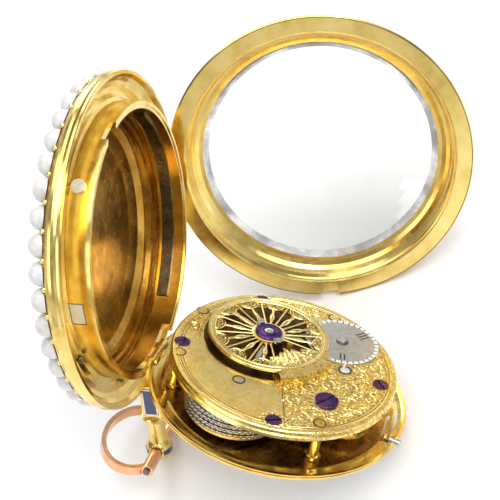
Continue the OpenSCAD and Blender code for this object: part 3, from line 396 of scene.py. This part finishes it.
enamel_royal = guilloche()
enamel_white = gloss("enamel_white", [(0.3, (0.8, 0.79, 0.75)), (0.7, (0.9, 0.89, 0.86))], (0.12, 0.22))
black_paint = gloss("black_wax", [(0.3, (0.01, 0.01, 0.01)), (0.7, (0.035, 0.03, 0.03))], (0.3, 0.5), 0.2)
# Dark line colour: real dark joints on the plate, and painted shade at the pillar ends and round the
# bezel's edge.
dark_joint_and_shade = gloss("dark_line", [(0.3, (0.03, 0.018, 0.008)), (0.7, (0.1, 0.055, 0.02))], (0.4, 0.6), 0.1)


def glass_material():
    mat, tree, shader, coords = new_material("crystal_glass")
    shader.inputs["Transmission Weight"].default_value = 1
    shader.inputs["IOR"].default_value = 1.45
    # The slight grey tint is partly painted reflection, standing in for the crystal's milky sheen.
    tint = ramp(tree, noise(tree, coords, 0.08, 3),
                [(0.3, (0.93, 0.94, 0.93)), (0.7, (0.985, 0.985, 0.975))])
    tree.links.new(tint, shader.inputs["Base Color"])
    tree.links.new(span(tree, noise(tree, coords, 0.3, 5, 0.7), 0.0, 0.05), shader.inputs["Roughness"])
    bump(tree, shader, [(noise(tree, coords, 0.06, 2), 0.05, 0.1)])
    return mat


glass = glass_material()


def painted_glass_edge():
    """Edge of the glass, bedded in the bezel: cloudy grey and half clear, a painted reflection in its
    bevel.
    """
    mat, tree, shader, coords = new_material("glass_edge")
    rag = noise(tree, coords, 0.16, 5, 0.55, distortion=0.3)
    greys = [(0.35, (0.3, 0.29, 0.28)), (0.5, (0.46, 0.45, 0.44)), (0.65, (0.62, 0.61, 0.6))]
    tree.links.new(ramp(tree, rag, greys), shader.inputs["Base Color"])
    tree.links.new(span(tree, rag, 0.25, 0.5), shader.inputs["Roughness"])
    tree.links.new(span(tree, rag, 0.62, 0.12, (0.36, 0.64)), shader.inputs["Alpha"])
    bump(tree, shader, [(rag, 0.15, 0.1)])
    return mat


glass_edge = painted_glass_edge()

LOOKS = {
    gilt: ["case_band", "case_collar", "pendant", "brass_edge", "pillars", "edge_scroll", "hour_hand",
           "minute_hand"],
    gilt_bezel: ["bezel_ring"],
    gilt_bowl_shaded: ["case_back"],
    gilt_plain: ["barrel_bridge"],
    gilt_ground: ["top_plate", "balance_cock"],
    gilt_wheel: ["potence", "counter_potence", "spring_stud", "regulator_rack", "barrel",
                 "barrel_cover", "fusee", "great_wheel", "centre_wheel", "third_wheel", "contrate_wheel",
                 "crown_wheel", "minute_wheel", "hour_wheel"],
    brass_floor: ["pillar_plate"],
    rose: ["bow_ring"],
    steel_pale: ["collar_screw", "bezel_catch", "catch_spring", "index_pointer"],
    steel: ["movement_hinge_pin", "bezel_hinge_pin", "cap_screws",
            "regulator_arbor", "stop_iron", "barrel_arbor", "setup_click", "cannon_pinion", "catch_bolt",
            "verge_staff", "balance_wheel"],
    steel_dark: ["channel_screws", "case_spring", "bow_screw", "mainspring"],
    chain_steel: ["chain"],
    blued: ["cock_screw", "coqueret", "plate_screws", "balance_spring"],
    silvered: ["figure_plate"],
    pearl: ["back_pearls", "front_pearls"],
    enamel_royal: ["back_enamel"],
    enamel_blue: ["pendant_enamel"],
    enamel_white: ["dial"],
    glass: ["crystal"],
}
for look, names in LOOKS.items():
    for n in names:
        mesh = nodes[n].data
        mesh.materials.clear()
        mesh.materials.append(look)


# ---- Pierced cock ----

COCK_SCREW = (8.0, -9.0)
SCREWS = [(3.4, 17.1), (16.7, -2.2), (-15.4, 7.9), (-0.7, -16.5)]
PILLARS = [(6.4, 16.6), (14.0, -9.2), (-7.0, 16.6), (-16.4, -5.2)]
INDEX = (-1.9, -10.1)
ARBOR_END = (9.1, 5.6)
BRIDGE = [(24, -6.2), (8.5, -1.6), (7.2, 2.5), (4.6, 9.4), (0.6, 13.6), (-0.4, 24), (24, 24)]
FOOT_AZ = -47.5


def cad_mesh(node, place):
    """The node's mesh in local millimetres."""
    obj = nodes[node]
    back = place.inverted() @ Matrix.Scale(1 / MM, 4) @ obj.matrix_world
    verts = [tuple(back @ v.co) for v in obj.data.vertices]
    return verts, [tuple(p.vertices) for p in obj.data.polygons]


def from_foot(degrees):
    """How far a heading on the table is from the foot's, in degrees."""
    return abs((degrees - FOOT_AZ + 180) % 360 - 180)


def scroll(shape, at, size, heading, hand, z, height, leaves=4, width=0.24):
    """A raised C-scroll with leaves on its back."""
    path, widths = [], []
    for i in range(19):
        t = i / 18
        a = math.radians(heading) + hand * t * TAU * 1.35
        r = size * (1 - 0.88 * t)
        path.append((at[0] + r * math.cos(a), at[1] + r * math.sin(a)))
        widths.append(size * width * (1 - 0.55 * t))
    shape.ridge(path, widths, z, height)
    for k in range(leaves):
        a = math.radians(heading) + hand * (0.12 + 0.17 * k) * TAU
        r0, length = size * (1 - 0.1 * k), size * (0.85 - 0.1 * k)
        x, y = at[0] + r0 * math.cos(a), at[1] + r0 * math.sin(a)
        leaf, broad = [], []
        for i in range(7):
            t = i / 6
            b = a + hand * (0.25 + 1.0 * t)
            leaf.append((x + length * t * math.cos(b), y + length * t * math.sin(b)))
            broad.append(size * 0.36 * math.sin(math.pi * (0.12 + 0.86 * t)))
        shape.ridge(leaf, broad, z, height * 0.85)


def rosette(shape, at, r0, r1, count, z, height):
    for k in range(count):
        a = 360 * k / count
        path = [polar(at, a + 6 * t, r0 + (r1 - r0) * t) for t in (0, 0.25, 0.5, 0.75, 1)]
        wide = TAU * r1 / count * 0.6
        shape.ridge(path, [wide * 0.5, wide * 0.9, wide, wide * 0.75, wide * 0.15], z, height)


def cock():
    """The cock without its pierced table, which is drawn anew with spokes, arches and acanthus."""
    verts, faces = cad_mesh("balance_cock", MOVE)
    body = Shape()
    keep = []
    for f in faces:
        reach = [math.hypot(verts[i][0] - BALANCE[0], verts[i][1] - BALANCE[1]) for i in f]
        in_table = max(reach) < TABLE_R + 0.05 or min(reach) < 9.1
        if not (in_table and max(verts[i][2] for i in f) < TABLE_FRONT + 0.02):
            keep.append(f)
    body.add(verts, keep)
    neck = [(7.5, -0.9), (6.3, -2.8), (4.6, -4.8), (2.2, -6.6), (-0.6, -7.5), (-3.4, -6.9)]
    neck += [polar(BALANCE, -88 + 62 * i / 16, 10.1) for i in range(17)]
    body.prism(neck, TABLE_FRONT - 0.05, TABLE_BACK - 0.004)
    # A dark disc under the pierced table: painted shade in the sunk well.
    well = Shape()
    well.lathe([(0.9, WELL_FLOOR), (0.9, WELL_FLOOR - 0.04), (10.9, WELL_FLOOR - 0.04), (10.9, WELL_FLOOR)],
               128, BALANCE)
    make("well_floor", well, MOVE, "movement", brass_painted_shade)
    eye = Shape()
    eye.lathe([(0, -5.6), (0.3, -5.6), (0.62, -5.56), (0.8, -5.5), (0.8, -5.44), (0, -5.44)], 40, BALANCE)
    make("coqueret_eye", eye, MOVE, "movement", steel)
    make("cock_body", body, MOVE, "movement", gilt_ground, ["balance_cock"])

    top, low = TABLE_BACK, TABLE_FRONT
    rim = Shape()
    rim.lathe([(9.15, low), (9.15, top + 0.08), (9.25, top), (9.5, top), (9.56, top + 0.06),
               (9.92, top + 0.06), (9.98, top), (10.32, top), (TABLE_R, top + 0.08), (TABLE_R, low)],
              160, BALANCE)
    rim.lathe([(0.36, low), (0.36, top - 0.1), (2.5, top - 0.1), (2.9, top), (2.9, low)], 72, BALANCE)
    for k in range(120):
        x, y = polar(BALANCE, 3 * k, 9.74)
        rim.bead(x, y, top + 0.07, 0.15, 0.8)
    make("cock_rim", rim, MOVE, "movement", gilt_line)

    # Spokes, plain and baluster by turns, then an arch with two curls over each baluster
    mid = (top + low) / 2
    work = Shape()
    for k in range(24):
        a = 15 * k + 7.5
        if from_foot(a) < 25:
            continue
        if k % 2:
            end = 7.75
            steps = [0, 0.12, 0.25, 0.38, 0.5, 0.62, 0.75, 0.85, 1]
            girth = [0.2, 0.15, 0.24, 0.42, 0.5, 0.42, 0.2, 0.3, 0.16]
        else:
            end, steps, girth = 9.25, [0, 0.5, 1], [0.18, 0.15, 0.18]
        path = [(*polar(BALANCE, a, 2.75 + (end - 2.75) * t), mid) for t in steps]
        work.rod(path, girth, 10, 0.62)
    for k in range(12):
        a = 30 * k + 22.5
        if from_foot(a) < 22:
            continue
        hub = polar(BALANCE, a, 9.3)
        out = a + 180
        arch = [(*polar(hub, out + b, 1.72), mid) for b in range(-96, 97, 16)]
        work.rod(arch, [0.17] * len(arch), 8, 1.3)
        inner = [(*polar(hub, out + b, 1.36), mid - 0.1) for b in range(-90, 91, 20)]
        work.rod(inner, [0.07] * len(inner), 6, 1.2)
        for hand in (-1, 1):
            eye = polar(polar(BALANCE, a, 8.72), a + 90 * hand, 0.52)
            curl = []
            for i in range(13):
                t = i / 12
                point = polar(eye, out + hand * (420 * t - 90), 0.5 * (1 - 0.75 * t))
                curl.append((*point, mid - 0.04))
            work.rod(curl, [0.14 - 0.05 * i / 12 for i in range(13)], 6, 1.3)
        x, y = polar(BALANCE, a, 8.05)
        work.bead(x, y, mid - 0.05, 0.2, 0.8)
    make("cock_openwork", work, MOVE, "movement", gilt_line, sharp=50)

    # Acanthus on the foot's side of the table, pierced along its scrolled edge
    leaf = Shape()
    outline = []
    for i in range(41):
        t = i / 40
        a = FOOT_AZ - 33 + 66 * t
        lobe = abs(math.sin(t * math.pi * 5))
        outline.append(polar(BALANCE, a, 5.1 + 2.6 * abs(t - 0.5) * 2 - 1.1 * lobe + 0.4))
    outline += [polar(BALANCE, FOOT_AZ + 33 - 66 * i / 24, 9.3) for i in range(25)]
    leaf.prism(outline, low, top + 0.06)
    make("cock_acanthus", leaf, MOVE, "movement", gilt_ground)

    veins = Shape()
    for k in range(11):
        a = FOOT_AZ - 30 + 6 * k
        r0 = 5.2 + 0.45 * abs(k - 5)
        path = [polar(BALANCE, a + 3 * math.sin(t * 4 + k), r0 + (9.2 - r0) * t)
                for t in (0, 0.2, 0.4, 0.6, 0.8, 1)]
        veins.ridge(path, [0.2, 0.5, 0.62, 0.5, 0.34, 0.1], top + 0.06, 0.13)
    for k in range(5):
        at = polar(BALANCE, FOOT_AZ - 26 + 13 * k, 7.7 + 0.5 * (k % 2))
        scroll(veins, at, 0.7, 60 * k, 1 if k % 2 else -1, top + 0.06, 0.13, 3, 0.34)
    make("cock_leaves", veins, MOVE, "movement", gilt_line)


# ---- Engraving on the plate ----

def engraving():
    inside = Shape()

    def in_bridge(x, y, margin=0.0):
        hit = False
        for i, (x0, y0) in enumerate(BRIDGE):
            x1, y1 = BRIDGE[(i + 1) % len(BRIDGE)]
            if (y0 > y) != (y1 > y) and x < (x1 - x0) * (y - y0) / (y1 - y0) + x0:
                hit = not hit
        if not hit and margin:
            for i, (x0, y0) in enumerate(BRIDGE):
                x1, y1 = BRIDGE[(i + 1) % len(BRIDGE)]
                d = Vector((x1 - x0, y1 - y0))
                t = max(0, min(1, ((x - x0) * d.x + (y - y0) * d.y) / d.length_squared))
                if math.hypot(x - x0 - t * d.x, y - y0 - t * d.y) < margin:
                    return True
        return hit

    spots = [(FIGURE, 6.45), (COCK_SCREW, 2.7), (INDEX, 1.9), (BALANCE, 11.5)]
    spots += [(p, 1.7) for p in SCREWS] + [(p, 1.5) for p in PILLARS]

    def free(x, y, reach):
        if any(math.hypot(x - c[0], y - c[1]) < r + reach for c, r in spots):
            return False
        return math.hypot(x, y) < 17.7 - reach and not in_bridge(x, y, reach + 0.2)

    taken = []
    sizes = ((1.5, 900, 5), (1.0, 1500, 4), (0.6, 2600, 3), (0.4, 9000, 2), (0.24, 9000, 1))
    for size, tries, leaves in sizes:
        for _ in range(tries):
            x, y = dice.uniform(-18, 18), dice.uniform(-18, 18)
            reach = size * 1.25
            if not free(x, y, reach * 0.8):
                continue
            if any(math.hypot(x - a, y - b) < reach * 0.9 + c for a, b, c in taken):
                continue
            taken.append((x, y, reach * 0.72))
            heading = dice.uniform(0, 360)
            hand = dice.choice((-1, 1))
            scroll(inside, (x, y), size, heading, hand, PLATE_BACK, 0.1, leaves)
    rosette(inside, COCK_SCREW, 2.1, 3.3, 18, PLATE_BACK, 0.1)
    rosette(inside, SCREWS[1], 1.5, 2.3, 13, PLATE_BACK, 0.09)
    rosette(inside, SCREWS[2], 1.5, 2.2, 13, PLATE_BACK, 0.09)
    make("plate_foliage", inside, MOVE, "movement", gilt_line)

    edge = Shape()
    borders = ((18.02, 18.08, 18.16, 18.22, 0.07), (17.62, 17.66, 17.7, 17.74, 0.035))
    for r0, r1, r2, r3, rise in borders:
        crest = PLATE_BACK - rise
        edge.lathe([(r0, PLATE_BACK), (r1, crest), (r2, crest), (r3, PLATE_BACK)], 180)
    for k in range(230):
        x, y = polar((0, 0), 360 * k / 230, 18.5)
        edge.bead(x, y, PLATE_BACK + 0.02, 0.19, 0.55)
    make("plate_edge", edge, MOVE, "movement", gilt_line)

    # Dark rings round the pillar ends, the arbor's end and the index: painted shade.
    ends = Shape()
    face = PLATE_BACK - 0.03
    for at in PILLARS + [ARBOR_END]:
        ends.lathe([(0.86, PLATE_BACK), (0.86, face), (1.12, face), (1.12, PLATE_BACK)], 32, at)
    ends.lathe([(0.88, PLATE_BACK - 0.01), (0.88, face), (1.2, face), (1.2, PLATE_BACK)], 32, INDEX)
    make("pillar_shadows", ends, MOVE, "movement", dark_joint_and_shade)

    # Beads round the bridge's side of the well
    well = Shape()
    for k in range(76):
        a = -18 + 108 * k / 75
        x, y = polar(BALANCE, a, 11.75)
        if in_bridge(x, y):
            well.bead(x, y, PLATE_BACK, 0.14, 0.6)
    make("well_beads", well, MOVE, "movement", gilt_line)

    # Dark lines: the joint of the bridge and the edges of the double border
    lines = Shape()
    lines.ridge([BRIDGE[1], (17.15, -4.18)], [0.16, 0.16], PLATE_BACK - 0.01, 0.01)
    for r in (17.35, 17.84):
        path = [polar((0, 0), 3 * k, r) for k in range(121)]
        lines.ridge(path, [0.09] * 121, PLATE_BACK - 0.008, 0.01)
    make("plate_lines", lines, MOVE, "movement", dark_joint_and_shade)


# ---- Regulator's figure plate ----

def figure_plate():
    z = FIGURE_BACK
    ring = Shape()
    ring.lathe([(5.72, z), (5.74, z - 0.03), (6.36, z - 0.03), (6.38, z)], 128, FIGURE)
    make("figure_ring", ring, MOVE, "figure_plate", enamel_white)
    nut = Shape()
    nut.lathe([(0.62, z), (1.12, z), (1.08, z - 0.14), (0.86, z - 0.3), (0.62, z - 0.34)], 32, FIGURE)
    make("arbor_collar", nut, MOVE, "figure_plate", steel_dark)
    head = Shape()
    square = [polar(FIGURE, 65 + 90 * k, 1.02) for k in range(4)]
    head.prism(square, z - 0.34, z - 0.74)
    make("arbor_head", head, MOVE, "figure_plate", steel)
    marks = Shape()
    for k in range(36):
        p, q = polar(FIGURE, 10 * k, 5.62), polar(FIGURE, 10 * k, 6.32)
        marks.ridge([p, q], [0.19, 0.19], z - 0.035, 0.012)
    for strokes, a in ((1, 95), (2, 348), (3, 221.5)):
        numeral(marks, strokes, a, z - 0.008)
    make("figure_marks", marks, MOVE, "figure_plate", black_paint)


def numeral(shape, strokes, heading, z):
    """One to three serifed strokes on the figure plate, with their tops outward."""
    height, wide, thick, serif = 1.6, 0.672, 0.27, 0.12
    at = polar(FIGURE, heading, 4.45)
    a = math.radians(heading - 90)
    ux, uy = math.cos(a), math.sin(a)

    def put(x0, y0, x1, y1, w):
        p = (at[0] + ux * x0 - uy * y0, at[1] + uy * x0 + ux * y0)
        q = (at[0] + ux * x1 - uy * y1, at[1] + uy * x1 + ux * y1)
        shape.ridge([p, q], [w, w], z, 0.01)

    for k in range(strokes):
        x = (k - strokes / 2) * wide
        put(x + wide / 2, -height / 2, x + wide / 2, height / 2, thick)
        for end in (height / 2, -height / 2):
            put(x + 0.096, end, x + wide - 0.096, end, serif)


# ---- Chain ----

def chain():
    """Four rows on the barrel; each link spans less than its share of the circle."""
    links, core = Shape(), Shape()
    count = 54
    half = 360 / count * 0.43
    for row in range(4):
        z0 = -1.75 + 0.9 * row
        core.lathe([(CHAIN_R, z0 + 0.08), (CHAIN_R, z0 + 0.64), (8.36, z0 + 0.64), (8.36, z0 + 0.08)],
                   120, BARREL)
        for strand in range(2):
            z = z0 + 0.19 + 0.34 * strand
            for k in range(count):
                a = 360 * (k + 0.5 * ((strand + row) % 2)) / count
                path = [(*polar(BARREL, a + half * t, 8.43 - 0.03 * abs(t)), z)
                        for t in (-1, -0.55, 0, 0.55, 1)]
                links.rod(path, [0.07, 0.13, 0.12, 0.13, 0.07], 6, 1.3)
    make("chain_core", core, MOVE, "movement", steel_dark, ["chain"])
    make("chain_links", links, MOVE, "movement", chain_steel, sharp=60)


# ---- Case, pendant and bezel trim ----

def gallery(name, count, ring, z, pearl_r, side, place, body):
    """Gold grains between the half pearls, which lean out by 30.3 degrees."""
    grains = Shape()
    lean, sunk = math.radians(30.3), 0.06
    for k in range(count):
        for across, size in ((-0.78, 0.15), (0.74, 0.24)):
            r = ring + pearl_r * (across * math.cos(lean) - sunk * math.sin(lean))
            x, y = azimuth(360 * k / count, r)
            z1 = z - side * pearl_r * (across * math.sin(lean) + sunk * math.cos(lean))
            grains.bead(x, y, z1, pearl_r * size, 1.0, 5, 10)
    make(name, grains, place, body, gilt_line)


def pendant_trim():
    white = Shape()

    def border(fix, w=1.3, h=2.7, t=0.26):
        bars = ((-w, w, -h, -h + t), (-w, w, h - t, h), (-w, -w + t, -h, h), (w - t, w, -h, h))
        for x0, x1, y0, y1 in bars:
            corners = [fix(x, y, d) for d in (0, 1) for x, y in ((x0, y0), (x1, y0), (x1, y1), (x0, y1))]
            white.add(corners, [(0, 1, 2, 3), (7, 6, 5, 4), (0, 4, 5, 1), (1, 5, 6, 2), (2, 6, 7, 3),
                                (3, 7, 4, 0)])

    for side in (-1, 1):
        border(lambda x, y, d, s=side: (s * (1.79 + 0.035 * d), 31.2 + y, 0.2 + x))
    border(lambda x, y, d: (x, 31.2 + y, 1.99 + 0.035 * d))
    border(lambda x, y, d: (x, 31.2 + y, -1.59 - 0.035 * d))
    make("pendant_borders", white, REST, "case", enamel_white)


def bezel_trim():
    bed = Shape()
    bed.lathe([(20.35, 5.0), (21.42, 4.06), (21.42, 3.94), (20.3, 4.86)], 160)
    # A thin dark line round the bezel's outer edge: painted shade.
    edge = Shape()
    for arc in ((-152, 86), (94, 152)):
        edge.lathe([(27.12, 0.1), (27.12, 0.088), (27.26, 0.088), (27.26, 0.1)], 120, arc=arc)
    make("bezel_edge", edge, BEZEL, "bezel", dark_joint_and_shade)
    make("glass_bed", bed, BEZEL, "bezel", glass_edge)


# ---- Dial ----

def dial_marks():
    marks = Shape()
    track_in, track_out = 18.0, 19.2
    inner, outer, serif = 14.0, 17.3, 0.14
    thick, thin = 0.42, 0.2
    wide = {"I": 1.0, "V": 1.9, "X": 2.0}

    def level(r):
        """Height of the ink on the domed dial."""
        knots = [(0, 5.7), (10, 5.55), (16, 5.25), (20.6, 4.85)]
        for (r0, z0), (r1, z1) in zip(knots, knots[1:]):
            if r <= r1:
                return z0 + (z1 - z0) * (r - r0) / (r1 - r0) + 0.025
        return 4.875

    def mark(a, r0, r1, w):
        pts = []
        for r, side in ((r0, -1), (r0, 1), (r1, 1), (r1, -1)):
            x, y = azimuth(a + math.degrees(side * w / 2 / r), r)
            pts.append((x, y, level(r)))
        marks.add(pts, [(0, 1, 2, 3)])

    for k in range(60):
        if k % 5:
            mark(6 * k, track_in + 0.35, track_out, 0.14)
        else:
            mark(6 * k, track_in, track_out, 0.3)
    for r in (track_in, track_out):
        marks.lathe([(r, level(r)), (r + 0.12, level(r + 0.12))], 180, closed=False)
    words = ["XII", "I", "II", "III", "IV", "V", "VI", "VII", "VIII", "IX", "X", "XI"]
    for hour, word in enumerate(words):
        x = -sum(wide[c] for c in word) / 2

        def line(x0, r0, x1, r1, w):
            pts = []
            for xx, r in ((x0 - w / 2, r0), (x0 + w / 2, r0), (x1 + w / 2, r1), (x1 - w / 2, r1)):
                px, py = azimuth(30 * hour + math.degrees(xx / 15.6), r)
                pts.append((px, py, level(r)))
            marks.add(pts, [(0, 1, 2, 3)])

        for c in word:
            m = x + wide[c] / 2
            q = wide[c] * 0.36
            if c == "I":
                line(m, inner, m, outer, thick)
            elif c == "V":
                line(m, inner, m - q, outer, thick)
                line(m, inner, m + q, outer, thin)
            else:
                line(m + q, inner, m - q, outer, thick)
                line(m - q, inner, m + q, outer, thin)
            for r in (inner, outer - serif):
                line(m, r, m, r + serif, wide[c] * 0.86)
            x += wide[c]
    make("dial_marks", marks, MOVE, "movement", black_paint)


cock()
engraving()
figure_plate()
chain()
gallery("back_grains", 39, 25.9, -3.8, 1.95, -1, REST, "case")
gallery("front_grains", 42, 24.93, 2.98, 1.72, 1, BEZEL, "bezel")
pendant_trim()
bezel_trim()
dial_marks()


# ---- Studio ----

def studio():
    floor = bpy.data.meshes.new("floor")
    half = 1.5
    floor.from_pydata([(-half, -half, 0), (half, -half, 0), (half, half, 0), (-half, half, 0)], [],
                      [(0, 1, 2, 3)])
    mat, tree, shader, coords = new_material("floor_paper")
    paper = [(0.3, (0.93, 0.93, 0.93)), (0.7, (0.96, 0.96, 0.96))]
    tree.links.new(ramp(tree, noise(tree, coords, 0.01, 3), paper), shader.inputs["Base Color"])
    shader.inputs["Roughness"].default_value = 0.9
    shader.inputs["Specular IOR Level"].default_value = 0.1
    floor.materials.append(mat)
    obj = bpy.data.objects.new("floor", floor)
    bpy.context.scene.collection.objects.link(obj)

    world = bpy.data.worlds.new("studio")
    bpy.context.scene.world = world
    world.use_nodes = True
    wt = world.node_tree
    coords = wt.nodes.new("ShaderNodeTexCoord").outputs["Generated"]
    split = wt.nodes.new("ShaderNodeSeparateXYZ")
    wt.links.new(coords, split.inputs["Vector"])
    bands = [(0.0, (0.9, 0.9, 0.9)), (0.1, (0.8, 0.8, 0.8)), (0.3, (0.4, 0.4, 0.4)),
             (0.55, (0.22, 0.22, 0.225)), (1.0, (0.5, 0.5, 0.5))]
    sky = ramp(wt, split.outputs["Z"], bands)
    wt.links.new(sky, wt.nodes["Background"].inputs["Color"])
    wt.nodes["Background"].inputs["Strength"].default_value = 1.0

    centre = Vector((0.0, 0.0, 0.035))
    for name, at, size, power in (
            ("key", (-0.28, 0.1, 0.42), 0.35, 1.5),
            ("fill", (0.25, 0.35, 0.3), 0.3, 0.5),
            ("top", (0.05, -0.05, 0.5), 0.5, 1.3),
            ("rim", (0.15, -0.4, 0.25), 0.25, 0.6)):
        lamp = bpy.data.lights.new(name, "AREA")
        lamp.size, lamp.energy = size, power
        obj = bpy.data.objects.new(name, lamp)
        obj.location = at
        obj.rotation_mode = "QUATERNION"
        obj.rotation_quaternion = (centre - Vector(at)).to_track_quat("-Z", "Y")
        bpy.context.scene.collection.objects.link(obj)

    # The camera stands where circles of the watch line up with the photograph's
    right = Vector((-0.91982409, -0.20017943, -0.33741938))
    up = Vector((-0.06855537, -0.76479686, 0.64061371))
    back = Vector((-0.38629497, 0.61238384, 0.6897552))
    pose = Matrix((right, up, back)).transposed().to_4x4()
    pose.translation = Vector((-89.4125, 143.0388, 191.0)) * MM
    data = bpy.data.cameras.new("camera")
    data.sensor_width, data.lens = 36, 99.015
    data.clip_start, data.clip_end = 0.01, 10
    cam = bpy.data.objects.new("camera", data)
    cam.matrix_world = pose
    bpy.context.scene.collection.objects.link(cam)
    bpy.context.scene.camera = cam
    bpy.context.scene.view_settings.view_transform = "Standard"


studio()
